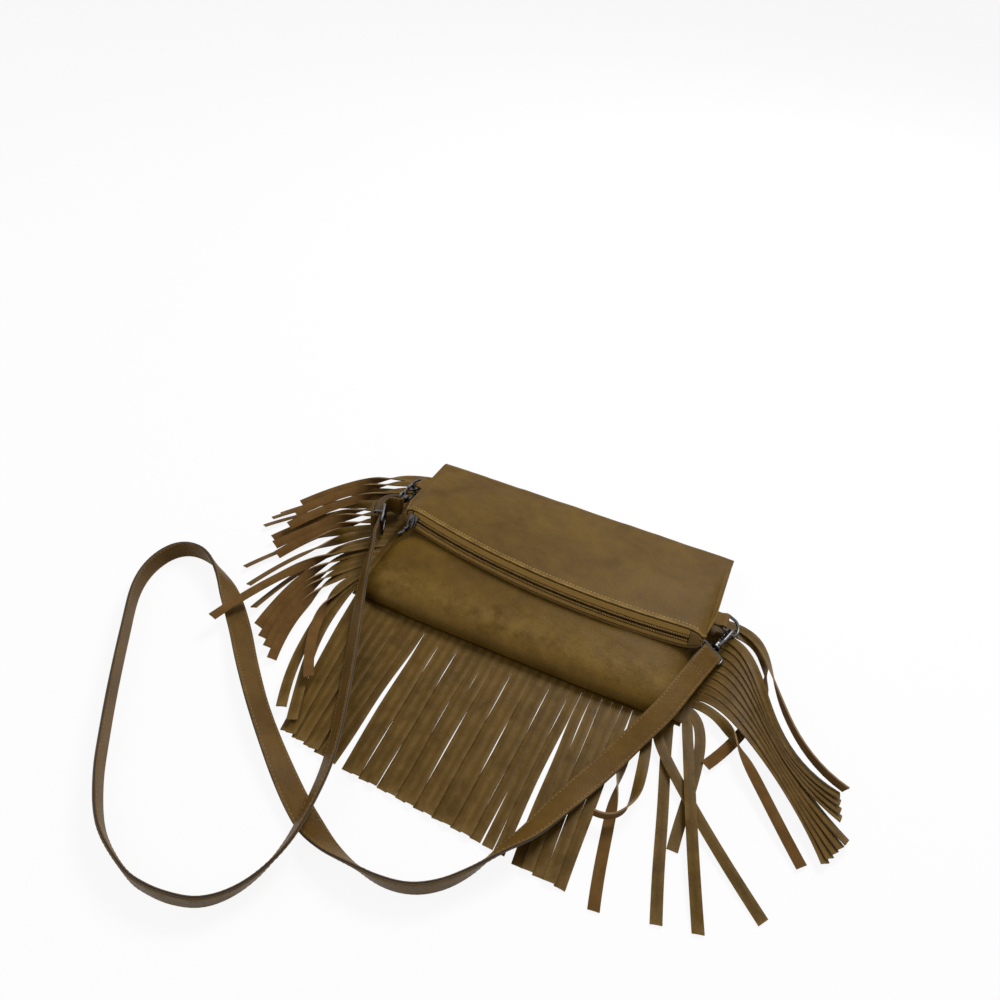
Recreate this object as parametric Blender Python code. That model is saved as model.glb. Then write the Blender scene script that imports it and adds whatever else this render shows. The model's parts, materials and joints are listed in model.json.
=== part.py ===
"""Fold-over crossbody bag with fringed edges, resting on its back with its flap folded forward.

Lengths are in metres. Points are measured from the middle of the bottom seam: +X along the pouch's width,
+Y from the bottom seam towards the fold, +Z up. The whole bag hangs on one empty that moves the origin to
the middle of the face that it rests on.
"""

import math

import bmesh
import bpy
from mathutils import Matrix, Vector

MM = 0.001

# Pouch
POUCH_WIDTH = 285 * MM
POUCH_HEIGHT = 174 * MM
PANEL_THICKNESS = 1.4 * MM
SEAM_MARGIN = 4 * MM
FOLD_RADIUS = 9 * MM
SEAT_GAP = 0.3 * MM
BULGE_HEIGHT = 15.5 * MM
BULGE_OVERHANG = 4 * MM
FLAP_CROWN = 1.5 * MM
PANEL_STATIONS = 16
FOLD_STEPS = 8
INNER_FOLD_STEPS = 6
FLAP_STEPS = 8
LOWER_FLAP_STEPS = 7
CLOSED_LIP = 0.1

# Zip, along a circular arc whose ends lie near the flap's corners
ZIP_LEFT = Vector((3.5 * MM - POUCH_WIDTH / 2, 84 * MM, 24 * MM))
ZIP_RIGHT = Vector((POUCH_WIDTH / 2 - 1.5 * MM, 64 * MM, 24 * MM))
ZIP_SAGITTA = 18 * MM
ZIP_RISE = math.radians(13)
ZIP_FACE_SLOPE = math.radians(50)
ZIP_UPPER_EDGE = 8.5 * MM
ZIP_LOWER_EDGE = 7.5 * MM
ZIP_LEFT_MARGIN = 9 * MM
ZIP_RIGHT_MARGIN = 13.3 * MM
LEFT_CORNER_RECESS = 14 * MM
RIGHT_CORNER_RECESS = 28 * MM
CORNER_LENGTH = 5.5 * MM
TAPE_THICKNESS = 0.6 * MM
COIL_WIDTH = 2.05 * MM
COIL_TOP = 1.3 * MM
COIL_BOTTOM = -0.9 * MM
COIL_GROOVE = 1.1 * MM
END_TAB_INSET = 3.2 * MM
END_TAB_HEIGHT = 1.1 * MM
ZIP_STEPS = 22

# Slider and pull
SLIDER_LENGTH = 9 * MM
SLIDER_WIDTH = 8 * MM
SLIDER_PLATE = 1.2 * MM
SLIDER_FLOOR = 0.8 * MM
SLIDER_FLOOR_WIDTH = 6.8 * MM
SLIDER_BLADE = 0.5 * MM
SLIDER_BLADE_LENGTH = 3 * MM
THROAT_OVERCUT = 0.05 * MM
SLIDER_REST = 13 * MM
BAIL_RADIUS = 2.8 * MM
BAIL_WIRE = 0.6 * MM
LINK_LENGTH = 8 * MM
LINK_RADIUS = 2.5 * MM
LINK_WIRE = 0.7 * MM
PULL_LENGTH = 12 * MM
PULL_WIDTH = 5 * MM
PULL_THICKNESS = 2.2 * MM
PULL_EYE = 1.4 * MM
PULL_DROOP = math.radians(6)

# Fringe, as bundles of neighbouring strips: how many, how far they turn over in degrees, how much higher
# every other one lies, and the routes of the first and the last one. A route's points draw the strip on from
# its header, and the last one is its tip. They are in millimetres, and strips between are spaced evenly.
FRINGE_THICKNESS = 1.2 * MM
FRINGE_INSERT = 4 * MM
FRINGE_HEADER = 3.5 * MM
STRIP_PITCH = 7.9 * MM
STRIP_SLIT = 0.45 * MM
FLAT_STRIP_STEPS = 4
TURNED_STRIP_STEPS = 7
TURN_START = 0.2
TURN_SHARE = 0.5
FLOOR_CLEARANCE = 0.15 * MM
BOTTOM_BUNDLES = (
    (9, 0, 2.1, ((-127, -62, 1), (-115, -131, 1)), ((-73, -62, 1), (-73, -137, 1))),
    (15, 0, 2.1, ((-62, -64, 1), (-59, -138, 1)), ((46, -66, 1), (43, -142, 1))),
    (1, 0, 0, ((53, -66, 3), (52, -143, 2)), ((53, -66, 3), (52, -143, 2))),
    (1, 0, 0, ((60, -66, 1), (60, -143, 1)), ((60, -66, 1), (60, -143, 1))),
    (5, 0, 2.1, ((70, -66, 1), (74, -145, 1)), ((102, -66, 1), (104, -146, 1))),
    (1, -180, 0, ((112, -72, 1), (128, -149, 1)), ((112, -72, 1), (128, -149, 1))),
    (1, 90, 0, ((144, -98, 14), (107, -94, 9)), ((144, -98, 14), (107, -94, 9))),
    (1, 0, 0, ((127, -26, 7), (160, -56, 5), (225, -110, 1)), ((127, -26, 7), (160, -56, 5), (225, -110, 1))),
    (1, 0, 0, ((146, -60, 1), (165, -140, 1)), ((146, -60, 1), (165, -140, 1))),
)
SIDE_START = 2.5 * MM
LEFT_BUNDLES = (
    (2, 0, 2.1, ((-150, -48, 4), (-114, -124, 6)), ((-162, -40, 4), (-127, -118, 4))),
    (1, 180, 0, ((-166, -30, 12), (-121, -91, 12)), ((-166, -30, 12), (-121, -91, 12))),
    (4, 150, 2.1, ((-184, -12, 6), (-160, -86, 4)), ((-196, 14, 6), (-188, -66, 4))),
    (1, 180, 0, ((-190, 20, 16), (-220, -80, 15)), ((-190, 20, 16), (-220, -80, 15))),
    (3, -150, 2.1, ((-190, 44, 4), (-204, -52, 5)), ((-202, 60, 3), (-240, -18, 3))),
    (3, 150, 2.1, ((-196, 76, 5), (-222, 4, 6)), ((-204, 92, 5), (-236, 18, 6))),
    (3, -150, 2.1, ((-206, 98, 3), (-256, 30, 3)), ((-206, 120, 3), (-252, 50, 3))),
    (3, 150, 1.9, ((-196, 118, 7), (-228, 32, 14)), ((-204, 140, 7), (-236, 62, 12))),
)
RIGHT_BUNDLES = (
    (1, 0, 0, ((156, -40, 13), (190, -134, 1)), ((156, -40, 13), (190, -134, 1))),
    (1, 0, 0, ((168, 4, 1), (160, -40, 1), (162, -92, 1)), ((168, 4, 1), (160, -40, 1), (162, -92, 1))),
    (1, 180, 0, ((178, 18, 12), (186, -10, 10), (241, -66, 2)),
     ((178, 18, 12), (186, -10, 10), (241, -66, 2))),
    (5, -28, 0, ((172, 30, 12), (192, 2, 14), (226, -16, 8), (254, -58, 4)),
     ((173, 61, 14), (190, 31, 18), (210, -9, 11), (265, -39, 6))),
    (4, -28, 0, ((173, 69, 14), (190, 38, 19), (206, -7, 13), (259, -25, 8)),
     ((174, 92, 15), (189, 60, 22), (194, -2, 17), (255, -11, 12))),
    (1, 180, 0, ((204, 112, 6), (206, 40, 4), (167, -24, 3)), ((204, 112, 6), (206, 40, 4), (167, -24, 3))),
    (1, -90, 0, ((190, 114, 4), (190, 75, 24), (200, 0, 30), (258, -6, 14)),
     ((190, 114, 4), (190, 75, 24), (200, 0, 30), (258, -6, 14))),
)

# Strap hardware. The tabs sit on the flap's side seams, behind the zip's ends.
LEFT_TAB_BEHIND_ZIP = 51 * MM
RIGHT_TAB_BEHIND_ZIP = 36 * MM
TAB_WIDTH = 14 * MM
TAB_THICKNESS = 1 * MM
TAB_REACH = 8 * MM
TAB_INSERT = 3 * MM
RING_WIRE = 1.3 * MM
RING_WIDTH = 16.4 * MM
RING_LEG = 8 * MM
RING_BOW = 6 * MM
RING_DROOP = math.radians(30)
HOOK_WIRE = 1.5 * MM
HOOK_BOW = 4.6 * MM
HOOK_TIP = 4.5 * MM
HOOK_PIVOT = 13 * MM
BOSS_START = 15 * MM
BOSS_LENGTH = 5 * MM
BOSS_RADIUS = 3.5 * MM
GATE_WIDTH = 2 * MM
GATE_THICKNESS = 1.7 * MM
PIN_RADIUS = 0.5 * MM
PIN_PLAY = 0.1 * MM
EAR_THICKNESS = 0.7 * MM
EYE_WIRE = 1.2 * MM
EYE_HEAD = 1.8 * MM
EYE_START = 23 * MM
EYE_BAR = 29 * MM
SIDE_PLAY = 0.6 * MM
RUNNING_GAP = 0.35 * MM
LEFT_HOOK_AIM = Vector((0.1, -0.985, 0.22))
RIGHT_HOOK_AIM = Vector((-0.3, -0.95, 0.05))
LEFT_EYE_ACROSS = Vector((0, 0.22, 0.98))
RIGHT_EYE_ACROSS = Vector((0.88, -0.28, -0.38))

# Slide adjuster, on the strap's doubled end
ADJUSTER_FROM_EYE = 34 * MM
ADJUSTER_SPACING = 10 * MM
ADJUSTER_WIRE = 1.3 * MM

# Strap, of two plies. Its route's points are in millimetres, each with its lean in degrees, and run from the
# right hook's eye to the left one. It is doubled back and sewn at the right eye, and turns round the left eye
# to the adjuster.
STRAP_WIDTH = 17 * MM
STRAP_PLY = 1.3 * MM
STRAP_END = 27 * MM
STRAP_TAIL = 12 * MM
STRAP_STEP = 12 * MM
STRAP_ROUTE = (
    (143, 50, 15.5, -22), (139.5, 38, 16, -20), (134, 17, 18, -14), (128, -3, 17, -8),
    (121.5, -18, 14.5, -4), (114, -34, 11, 0), (106.5, -51, 8, 2), (97, -72, 7, 4),
    (85, -99, 8.5, 18), (74, -125, 10.5, 38), (62, -145, 12, 62), (50, -164, 9.5, 82),
    (37, -179, 9.5, 88), (21, -189, 9.5, 88), (2, -193, 9.5, 85), (-20, -192, 9.3, 70),
    (-41, -188, 7.5, 45), (-63, -179, 4.2, 14), (-87, -165, 4.5, 16), (-116, -145, 6.5, 30),
    (-145, -123, 7, 35), (-174, -98, 6.5, 28), (-200, -74, 5, 16), (-224, -54, 5.5, 24),
    (-246, -38, 8.5, 60), (-270, -27, 9.5, 86), (-290, -27, 9.5, 90), (-302, -38, 9.5, 90),
    (-305, -59, 9.5, 90), (-297, -84, 9.5, 90), (-274, -119, 9.5, 90), (-249, -155, 9.5, 90),
    (-224, -189, 9.5, 90), (-200, -219, 9.5, 90), (-173, -243, 9.5, 90), (-141, -256, 9.5, 90),
    (-123, -258, 9.5, 90), (-105, -256, 9.5, 90), (-88, -250, 9.5, 95), (-75, -238, 9.8, 102),
    (-66, -221, 11, 110), (-61, -199, 14, 118), (-62, -175, 16.2, 122), (-67, -148, 16, 124),
    (-77, -120, 14, 124), (-90, -90, 13, 124), (-105, -57, 13, 124), (-121, -23, 14.5, 122),
    (-136, 10, 16.5, 118), (-145, 35, 18, 112), (-151.5, 52, 18, 96), (-156, 63, 18, 94),
    (-160.5, 74, 18, 94), (-164.8, 84.6, 18, 94), (-164.8, 90, 18, 92), (-162, 94.8, 18, 88),
    (-156.5, 96.8, 18, 82),
)
LEFT_EYE_LEAN = 78
RIGHT_EYE_LEAN = -22

FOLD_LINE = POUCH_HEIGHT - FOLD_RADIUS
HALF_WIDTH = POUCH_WIDTH / 2
STRAP_THICKNESS = 2 * STRAP_PLY
LAYER_OFFSET = (STRAP_THICKNESS + SEAT_GAP) / 2
EYE_WRAP = EYE_WIRE + RUNNING_GAP + STRAP_THICKNESS / 2
BAR_WRAP = ADJUSTER_WIRE + RUNNING_GAP + STRAP_THICKNESS / 2
HEADER_HEIGHT = PANEL_THICKNESS + SEAT_GAP + FRINGE_THICKNESS / 2
FRONT_SEAM_HEIGHT = HEADER_HEIGHT + FRINGE_THICKNESS / 2 + SEAT_GAP + PANEL_THICKNESS / 2
SHEET_STEP = PANEL_THICKNESS + SEAT_GAP


def clear_scene():
    for item in list(bpy.data.objects):
        bpy.data.objects.remove(item, do_unlink=True)


def material(name, colour, roughness, metallic=0.0):
    """One Principled material for a sub-part."""
    made = bpy.data.materials.new(name)
    made.use_nodes = True
    shader = made.node_tree.nodes["Principled BSDF"]
    shader.inputs["Base Color"].default_value = (*colour, 1.0)
    shader.inputs["Roughness"].default_value = roughness
    shader.inputs["Metallic"].default_value = metallic
    return made


def bag_empty():
    """The empty that carries every piece, half a pouch below the middle of the resting face."""
    empty = bpy.data.objects.new("bag_frame", None)
    bpy.context.collection.objects.link(empty)
    empty.location = (0.0, -POUCH_HEIGHT / 2, 0.0)
    return empty


def add_object(name, bm, finish, frame, origin=None):
    """Link a bmesh as one object, with its origin at the given point."""
    start = origin or Vector((0.0, 0.0, 0.0))
    bmesh.ops.translate(bm, verts=bm.verts, vec=-start)
    bmesh.ops.recalc_face_normals(bm, faces=bm.faces)
    mesh = bpy.data.meshes.new(name)
    bm.to_mesh(mesh)
    bm.free()
    mesh.shade_smooth()
    mesh.set_sharp_from_angle(angle=math.radians(35))
    mesh.materials.append(finish)
    made = bpy.data.objects.new(name, mesh)
    bpy.context.collection.objects.link(made)
    made.parent = frame
    made.location = start
    return made


def extruded_end(bm, face):
    """Extrude one face and return the new end face, leaving the old one only where it closes the start."""
    inside = all(len(edge.link_faces) > 1 for edge in face.edges)
    grown = bmesh.ops.extrude_face_region(bm, geom=[face])["geom"]
    if inside:
        bm.faces.remove(face)
    return next(item for item in grown if isinstance(item, bmesh.types.BMFace))


def loft(bm, rings):
    """A closed solid through rings of equally many points, by extruding an end face from ring to ring."""
    face = bm.faces.new([bm.verts.new(point) for point in rings[0]])
    for ring in rings[1:]:
        face = extruded_end(bm, face)
        for vert, point in zip(face.verts, ring):
            vert.co = point


def sweep_face(bm, face, frames):
    """Carry a face along frames of (centre, side, normal), keeping its outline in them."""
    centre, side, normal = frames[0]
    outline = [((v.co - centre).dot(side), (v.co - centre).dot(normal)) for v in face.verts]
    for centre, side, normal in frames[1:]:
        face = extruded_end(bm, face)
        for vert, (across, through) in zip(face.verts, outline):
            vert.co = centre + side * across + normal * through


def smooth_curve(points, steps):
    """Points on a Catmull-Rom curve through the given points, with steps between each two."""
    ends = [2 * points[0] - points[1], *points, 2 * points[-1] - points[-2]]
    curve = []
    for a, b, c, d in zip(ends, ends[1:], ends[2:], ends[3:]):
        for step in range(steps):
            t = step / steps
            squared = (2 * a - 5 * b + 4 * c - d) * t * t
            cubed = (3 * b - a - 3 * c + d) * t ** 3
            curve.append(0.5 * (2 * b + (c - a) * t + squared + cubed))
    return [*curve, points[-1]]


def sheet_ring(line, thickness):
    """The closed outline of a sheet whose middle follows a line of points."""
    outer = []
    inner = []
    across = Vector((1.0, 0.0, 0.0))
    for index, point in enumerate(line):
        ahead = line[min(index + 1, len(line) - 1)]
        behind = line[max(index - 1, 0)]
        normal = across.cross(ahead - behind).normalized() * thickness / 2
        outer.append(point + normal)
        inner.append(point - normal)
    return outer + inner[::-1]


def zip_frame():
    """The zip arc's centre, axis, radius and half angle, and its chord and bulge directions."""
    chord = ZIP_RIGHT - ZIP_LEFT
    along = chord.normalized()
    level = Vector((along.y, -along.x, 0.0)).normalized()
    bulge = level * math.cos(ZIP_RISE) + Vector((0.0, 0.0, 1.0)) * math.sin(ZIP_RISE)
    radius = (chord.length ** 2 / 4 + ZIP_SAGITTA ** 2) / (2 * ZIP_SAGITTA)
    centre = (ZIP_LEFT + ZIP_RIGHT) / 2 - bulge * (radius - ZIP_SAGITTA)
    return centre, along, bulge, radius, math.asin(chord.length / 2 / radius)


def zip_point(angle):
    centre, along, bulge, radius, _ = zip_frame()
    return centre + (along * math.sin(angle) + bulge * math.cos(angle)) * radius


def zip_axes(angle):
    """Tangent, down-slope and outward directions of the zip's face at an angle along its arc."""
    _, along, bulge, _, _ = zip_frame()
    tilt = ZIP_FACE_SLOPE + ZIP_RISE
    tangent = along * math.cos(angle) - bulge * math.sin(angle)
    radial = along * math.sin(angle) + bulge * math.cos(angle)
    down = radial * math.cos(tilt) - bulge.cross(along) * math.sin(tilt)
    return tangent, down, down.cross(tangent)


def zip_angle_at(x):
    """The arc angle of the zip at a place along the pouch's width."""
    centre, along, _, radius, _ = zip_frame()
    angle = 0.0
    for _ in range(8):
        angle += (x - zip_point(angle).x) / (radius * along.x)
    return angle


def station_places():
    """Places across the width, closer together near the side seams."""
    return [
        HALF_WIDTH * math.sin(math.pi / 2 * (2 * index / PANEL_STATIONS - 1))
        for index in range(PANEL_STATIONS + 1)
    ]


def fullness(x):
    """How far the pouch is filled across its width: none in the seam margins, full in the middle."""
    share = min(abs(x) / (HALF_WIDTH - SEAM_MARGIN), 1.0)
    return math.sqrt(1.0 - share ** 6)


def lip_edge(x, offset, share):
    """A point of the zip opening's edge, which closes towards the side seams and recedes at the corners."""
    angle = zip_angle_at(x)
    _, down, _ = zip_axes(angle)
    point = zip_point(angle) + down * offset * share
    recess = RIGHT_CORNER_RECESS if x > 0 else LEFT_CORNER_RECESS
    near = max(abs(x) - HALF_WIDTH + CORNER_LENGTH, 0.0) / CORNER_LENGTH
    return Vector((x, point.y + recess * near ** 1.5, point.z))


def flap_share(x):
    """How far the lip stands open at a place across the width."""
    share = min(abs(x) / (HALF_WIDTH - SEAM_MARGIN), 1.0)
    return CLOSED_LIP + (1.0 - CLOSED_LIP) * math.sqrt(1.0 - share ** 20)


def back_line(x):
    """The back panel's middle line at x: the resting face, the fold and the flap's top."""
    half = PANEL_THICKNESS / 2
    reach = FOLD_RADIUS - half
    line = [Vector((x, 0.0, half)), Vector((x, FOLD_LINE / 2, half)), Vector((x, FOLD_LINE, half))]
    for step in range(1, FOLD_STEPS + 1):
        turn = math.pi * step / FOLD_STEPS
        line.append(Vector((x, FOLD_LINE + reach * math.sin(turn), FOLD_RADIUS - reach * math.cos(turn))))
    start = line[-1]
    end = lip_edge(x, -ZIP_UPPER_EDGE, flap_share(x))
    end.z = max(end.z, lip_edge(x, 0.0, 0.0).z + SHEET_STEP / 2)
    for step in range(1, FLAP_STEPS + 1):
        share = step / FLAP_STEPS
        point = start.lerp(end, share)
        point.z += FLAP_CROWN * fullness(x) * math.sin(math.pi * share)
        line.append(point)
    return line


def front_line(x):
    """The front panel's middle line at x: the bulge, the inner fold and the flap's lower side."""
    fill = fullness(x)
    flat = [FOLD_LINE * share for share in (0.006, 0.036, 0.073, 0.145, 0.303, 0.576, 0.818)]
    forward = [flat[0], -BULGE_OVERHANG, flat[0], 0.75 * flat[3], *flat[4:]]
    rise = (0, 0.2, 0.62, 0.9, 1.0, 0.78, 0.52)
    points = [
        Vector((x, a + (b - a) * fill, FRONT_SEAM_HEIGHT + BULGE_HEIGHT * c * fill))
        for a, b, c in zip(flat, forward, rise)
    ]
    points.append(Vector((x, FOLD_LINE, FRONT_SEAM_HEIGHT + BULGE_HEIGHT * 0.38 * fill)))
    line = smooth_curve(points, 2)
    low = line[-1].z
    high = 2 * FOLD_RADIUS - PANEL_THICKNESS / 2 - SHEET_STEP
    reach = (high - low) / 2
    for step in range(1, INNER_FOLD_STEPS + 1):
        turn = math.pi * step / INNER_FOLD_STEPS
        line.append(Vector((x, FOLD_LINE + reach * math.sin(turn), low + reach - reach * math.cos(turn))))
    start = line[-1]
    end = lip_edge(x, ZIP_LOWER_EDGE, flap_share(x))
    end.z = min(end.z, lip_edge(x, 0.0, 0.0).z - SHEET_STEP / 2)
    for step in range(1, LOWER_FLAP_STEPS + 1):
        line.append(start.lerp(end, step / LOWER_FLAP_STEPS))
    return line


def add_panels(frame, finish):
    for name, line_at in (("back_panel", back_line), ("front_panel", front_line)):
        bm = bmesh.new()
        loft(bm, [sheet_ring(line_at(x), PANEL_THICKNESS) for x in station_places()])
        add_object(name, bm, finish, frame)


def zip_angles(near, far, count):
    """Equal arc angles from an inset at the left end to an inset at the right end."""
    _, _, _, radius, half = zip_frame()
    first = near / radius - half
    last = half - far / radius
    return [first + (last - first) * index / count for index in range(count + 1)]


def zip_bar(name, frame, finish, low, high, bottom, top, angles):
    """A bar along the zip, from low to high down its face and from bottom to top out of it.

    low and high are pairs of a plain length and a length that closes with the lip towards the side seams.
    """
    rings = []
    for angle in angles:
        point = zip_point(angle)
        _, down, out = zip_axes(angle)
        share = flap_share(point.x)
        first = low[0] + low[1] * share
        last = high[0] + high[1] * share
        corners = ((first, bottom), (last, bottom), (last, top), (first, top))
        rings.append([point + down * across + out * through for across, through in corners])
    bm = bmesh.new()
    loft(bm, rings)
    return add_object(name, bm, finish, frame)


def add_zip_chain(frame, tape, coil, leather):
    groove = COIL_GROOVE / 2
    outer = groove + COIL_WIDTH
    half = TAPE_THICKNESS / 2
    edge = PANEL_THICKNESS / 2 + SEAT_GAP
    upper = (edge, -ZIP_UPPER_EDGE)
    lower = (-edge / math.sin(ZIP_FACE_SLOPE) - TAPE_THICKNESS, ZIP_LOWER_EDGE)
    chain = zip_angles(ZIP_LEFT_MARGIN, ZIP_RIGHT_MARGIN, ZIP_STEPS)
    zip_bar("zip_tape_upper", frame, tape, upper, (-outer - SEAT_GAP, 0), -half, half, chain)
    zip_bar("zip_tape_lower", frame, tape, (outer + SEAT_GAP, 0), lower, -half, half, chain)
    zip_bar("zip_coil_upper", frame, coil, (-outer, 0), (-groove, 0), COIL_BOTTOM, COIL_TOP, chain)
    zip_bar("zip_coil_lower", frame, coil, (groove, 0), (outer, 0), COIL_BOTTOM, COIL_TOP, chain)
    _, _, _, radius, half_angle = zip_frame()
    length = 2 * half_angle * radius
    slider_start = SLIDER_REST - SLIDER_LENGTH / 2 - SEAT_GAP
    left = zip_angles(END_TAB_INSET, length - slider_start, 2)
    right = zip_angles(length - ZIP_RIGHT_MARGIN + SEAT_GAP, END_TAB_INSET, 2)
    zip_bar("zip_end_tab_left", frame, leather, upper, lower, -half, END_TAB_HEIGHT, left)
    zip_bar("zip_end_tab_right", frame, leather, upper, lower, -half, END_TAB_HEIGHT, right)


def local_frame(origin, x_aim, y_aim):
    """A frame at an origin with its X along one aim and its Y as near the other as it can be."""
    x_axis = x_aim.normalized()
    z_axis = x_axis.cross(y_aim).normalized()
    y_axis = z_axis.cross(x_axis)
    return Matrix.Translation(origin) @ Matrix((x_axis, y_axis, z_axis)).transposed().to_4x4()


def prism(bm, place, outline, travel):
    """A flat outline of local points made solid along a local direction, put in its place."""
    face = bm.faces.new([bm.verts.new(place @ Vector(point)) for point in outline])
    end = extruded_end(bm, face)
    bmesh.ops.translate(bm, verts=end.verts, vec=place.to_3x3() @ Vector(travel))


def rod(bm, place, radius, start, end, sides=12):
    """A round rod along the local X axis."""
    turns = [2 * math.pi * step / sides for step in range(sides)]
    outline = [(start, radius * math.cos(turn), radius * math.sin(turn)) for turn in turns]
    prism(bm, place, outline, (end - start, 0, 0))


def wire_rings(line, radius, sides):
    """Rings of a round wire along a closed or open line, given as (point, tangent) pairs."""
    side = line[0][1].orthogonal().normalized()
    rings = []
    for point, tangent in line:
        side = (side - tangent * side.dot(tangent)).normalized()
        normal = tangent.cross(side)
        turns = [2 * math.pi * step / sides for step in range(sides)]
        rings.append([point + (side * math.cos(turn) + normal * math.sin(turn)) * radius for turn in turns])
    return rings


def open_wire(bm, place, points, radius, sides=8):
    """A round wire with capped ends through local points."""
    line = [place @ Vector(point) for point in points]
    pairs = []
    for index, point in enumerate(line):
        ahead = line[min(index + 1, len(line) - 1)]
        behind = line[max(index - 1, 0)]
        pairs.append((point, (ahead - behind).normalized()))
    loft(bm, wire_rings(pairs, radius, sides))


def closed_wire(bm, place, points, radius, sides=8):
    """A round wire through local points, joined end to end. The points lie in one plane."""
    line = [place @ Vector(point) for point in points]
    pairs = []
    for index, point in enumerate(line):
        pairs.append((point, (line[(index + 1) % len(line)] - line[index - 1]).normalized()))
    loops = []
    for ring in wire_rings(pairs, radius, sides):
        verts = [bm.verts.new(point) for point in ring]
        loops.append([bm.edges.new((a, b)) for a, b in zip(verts, verts[1:] + verts[:1])])
    for loop, following in zip(loops, loops[1:] + loops[:1]):
        bmesh.ops.bridge_loops(bm, edges=loop + following)


def change_with(target, name, bm, operation):
    """Join to a target, or cut from it, a helper shape that is itself left out."""
    helper = add_object(name, bm, target.active_material, target.parent)
    helper.hide_render = True
    helper.display_type = "WIRE"
    change = target.modifiers.new(name, "BOOLEAN")
    change.operation = operation
    change.object = helper
    change.solver = "EXACT"


def rounded_loop(half_length, half_width, corner, steps=3):
    """A rectangle in local X and Y with rounded corners, as a list of points."""
    points = []
    for centre_x, centre_y, start in ((1, 1, 0), (-1, 1, 1), (-1, -1, 2), (1, -1, 3)):
        for step in range(steps + 1):
            turn = math.pi / 2 * (start + step / steps)
            points.append((
                centre_x * (half_length - corner) + corner * math.cos(turn),
                centre_y * (half_width - corner) + corner * math.sin(turn),
                0.0,
            ))
    return points


def slider_place():
    """The slider's frame: X down the zip's face, Y along the zip and Z out of it."""
    _, _, _, radius, half = zip_frame()
    angle = SLIDER_REST / radius - half
    tangent, down, _ = zip_axes(angle)
    return local_frame(zip_point(angle), down, tangent)


def zip_axis_origin():
    """The zip arc's centre, which the slider turns about."""
    return zip_frame()[0]


def add_slider(frame, metal):
    """The slider's body: two plates with guiding flanges, a blade that joins them, and a bail."""
    place = slider_place()
    flange = COIL_GROOVE / 2 + COIL_WIDTH + RUNNING_GAP
    lip = TAPE_THICKNESS / 2 + RUNNING_GAP
    top = COIL_TOP + RUNNING_GAP + SLIDER_PLATE
    over_floor = COIL_BOTTOM - RUNNING_GAP
    start = -SLIDER_LENGTH / 2
    half_section = (
        (SLIDER_WIDTH / 2, top), (SLIDER_WIDTH / 2, lip), (flange, lip), (flange, top - SLIDER_PLATE),
        (SLIDER_BLADE / 2, top - SLIDER_PLATE), (SLIDER_BLADE / 2, over_floor),
        (SLIDER_FLOOR_WIDTH / 2, over_floor), (SLIDER_FLOOR_WIDTH / 2, over_floor - SLIDER_FLOOR),
    )
    section = [(x, start, z) for x, z in half_section] + [(-x, start, z) for x, z in reversed(half_section)]
    bm = bmesh.new()
    prism(bm, place, section, (0, SLIDER_LENGTH, 0))
    body = add_object("zip_slider", bm, metal, frame, zip_axis_origin())
    bm = bmesh.new()
    behind_blade = start + SLIDER_BLADE_LENGTH
    low = over_floor - THROAT_OVERCUT
    high = top - SLIDER_PLATE + THROAT_OVERCUT
    corners = ((-flange / 2, low), (flange / 2, low), (flange / 2, high), (-flange / 2, high))
    prism(bm, place, [(x, behind_blade, z) for x, z in corners], (0, SLIDER_LENGTH, 0))
    change_with(body, "slider_throat", bm, "DIFFERENCE")
    bm = bmesh.new()
    turns = [math.pi * step / 8 for step in range(9)]
    arch = [(BAIL_RADIUS * math.cos(turn), 0, top + BAIL_RADIUS * math.sin(turn)) for turn in turns]
    foot = top - SLIDER_PLATE / 2
    open_wire(bm, place, [(BAIL_RADIUS, 0, foot), *arch, (-BAIL_RADIUS, 0, foot)], BAIL_WIRE, 6)
    change_with(body, "slider_bail", bm, "UNION")


def add_pull(frame, metal):
    """The oval link under the slider's bail and the pull that hangs on it."""
    place = slider_place()
    height = COIL_TOP + RUNNING_GAP + SLIDER_PLATE + LINK_WIRE + RUNNING_GAP
    inner = -LINK_WIRE / 2
    hinge = place @ Vector((inner, 0, height))
    middle = place @ Matrix.Translation((inner + LINK_LENGTH / 2, 0, height))
    bm = bmesh.new()
    closed_wire(bm, middle, rounded_loop(LINK_LENGTH / 2, LINK_RADIUS, LINK_RADIUS * 0.8), LINK_WIRE)
    add_object("zip_pull_link", bm, metal, frame, hinge)
    tangent = place.to_3x3() @ Vector((0, 1, 0))
    eye = place @ Vector((inner + LINK_LENGTH, 0, height))
    forward = Vector((tangent.y, -tangent.x, 0)).normalized()
    aim = forward * math.cos(PULL_DROOP) - Vector((0, 0, math.sin(PULL_DROOP)))
    pull = local_frame(eye, tangent, aim)
    half = PULL_THICKNESS / 2
    back = -PULL_EYE - 1.1 * MM
    corner = 1.2 * MM
    width = PULL_WIDTH / 2
    outline = (
        (-half, back, -width + corner), (-half, back + corner, -width), (-half, PULL_LENGTH - corner, -width),
        (-half, PULL_LENGTH, -width + corner), (-half, PULL_LENGTH, width - corner),
        (-half, PULL_LENGTH - corner, width), (-half, back + corner, width), (-half, back, width - corner),
    )
    bm = bmesh.new()
    prism(bm, pull, outline, (PULL_THICKNESS, 0, 0))
    tab = add_object("zip_pull_tab", bm, metal, frame, eye)
    bm = bmesh.new()
    rod(bm, pull, PULL_EYE, -PULL_THICKNESS, PULL_THICKNESS)
    change_with(tab, "pull_eye", bm, "DIFFERENCE")


def bundled_strips(bundles):
    """The route and turn of every strip of a fringe, in order."""
    strips = []
    for count, turn, layer, first_route, last_route in bundles:
        for index in range(count):
            share = index / max(count - 1, 1)
            lift = Vector((0, 0, layer * (index % 2)))
            route = [
                (Vector(first).lerp(Vector(last), share) + lift) * MM
                for first, last in zip(first_route, last_route)
            ]
            strips.append((route, math.radians(turn)))
    return strips


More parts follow.
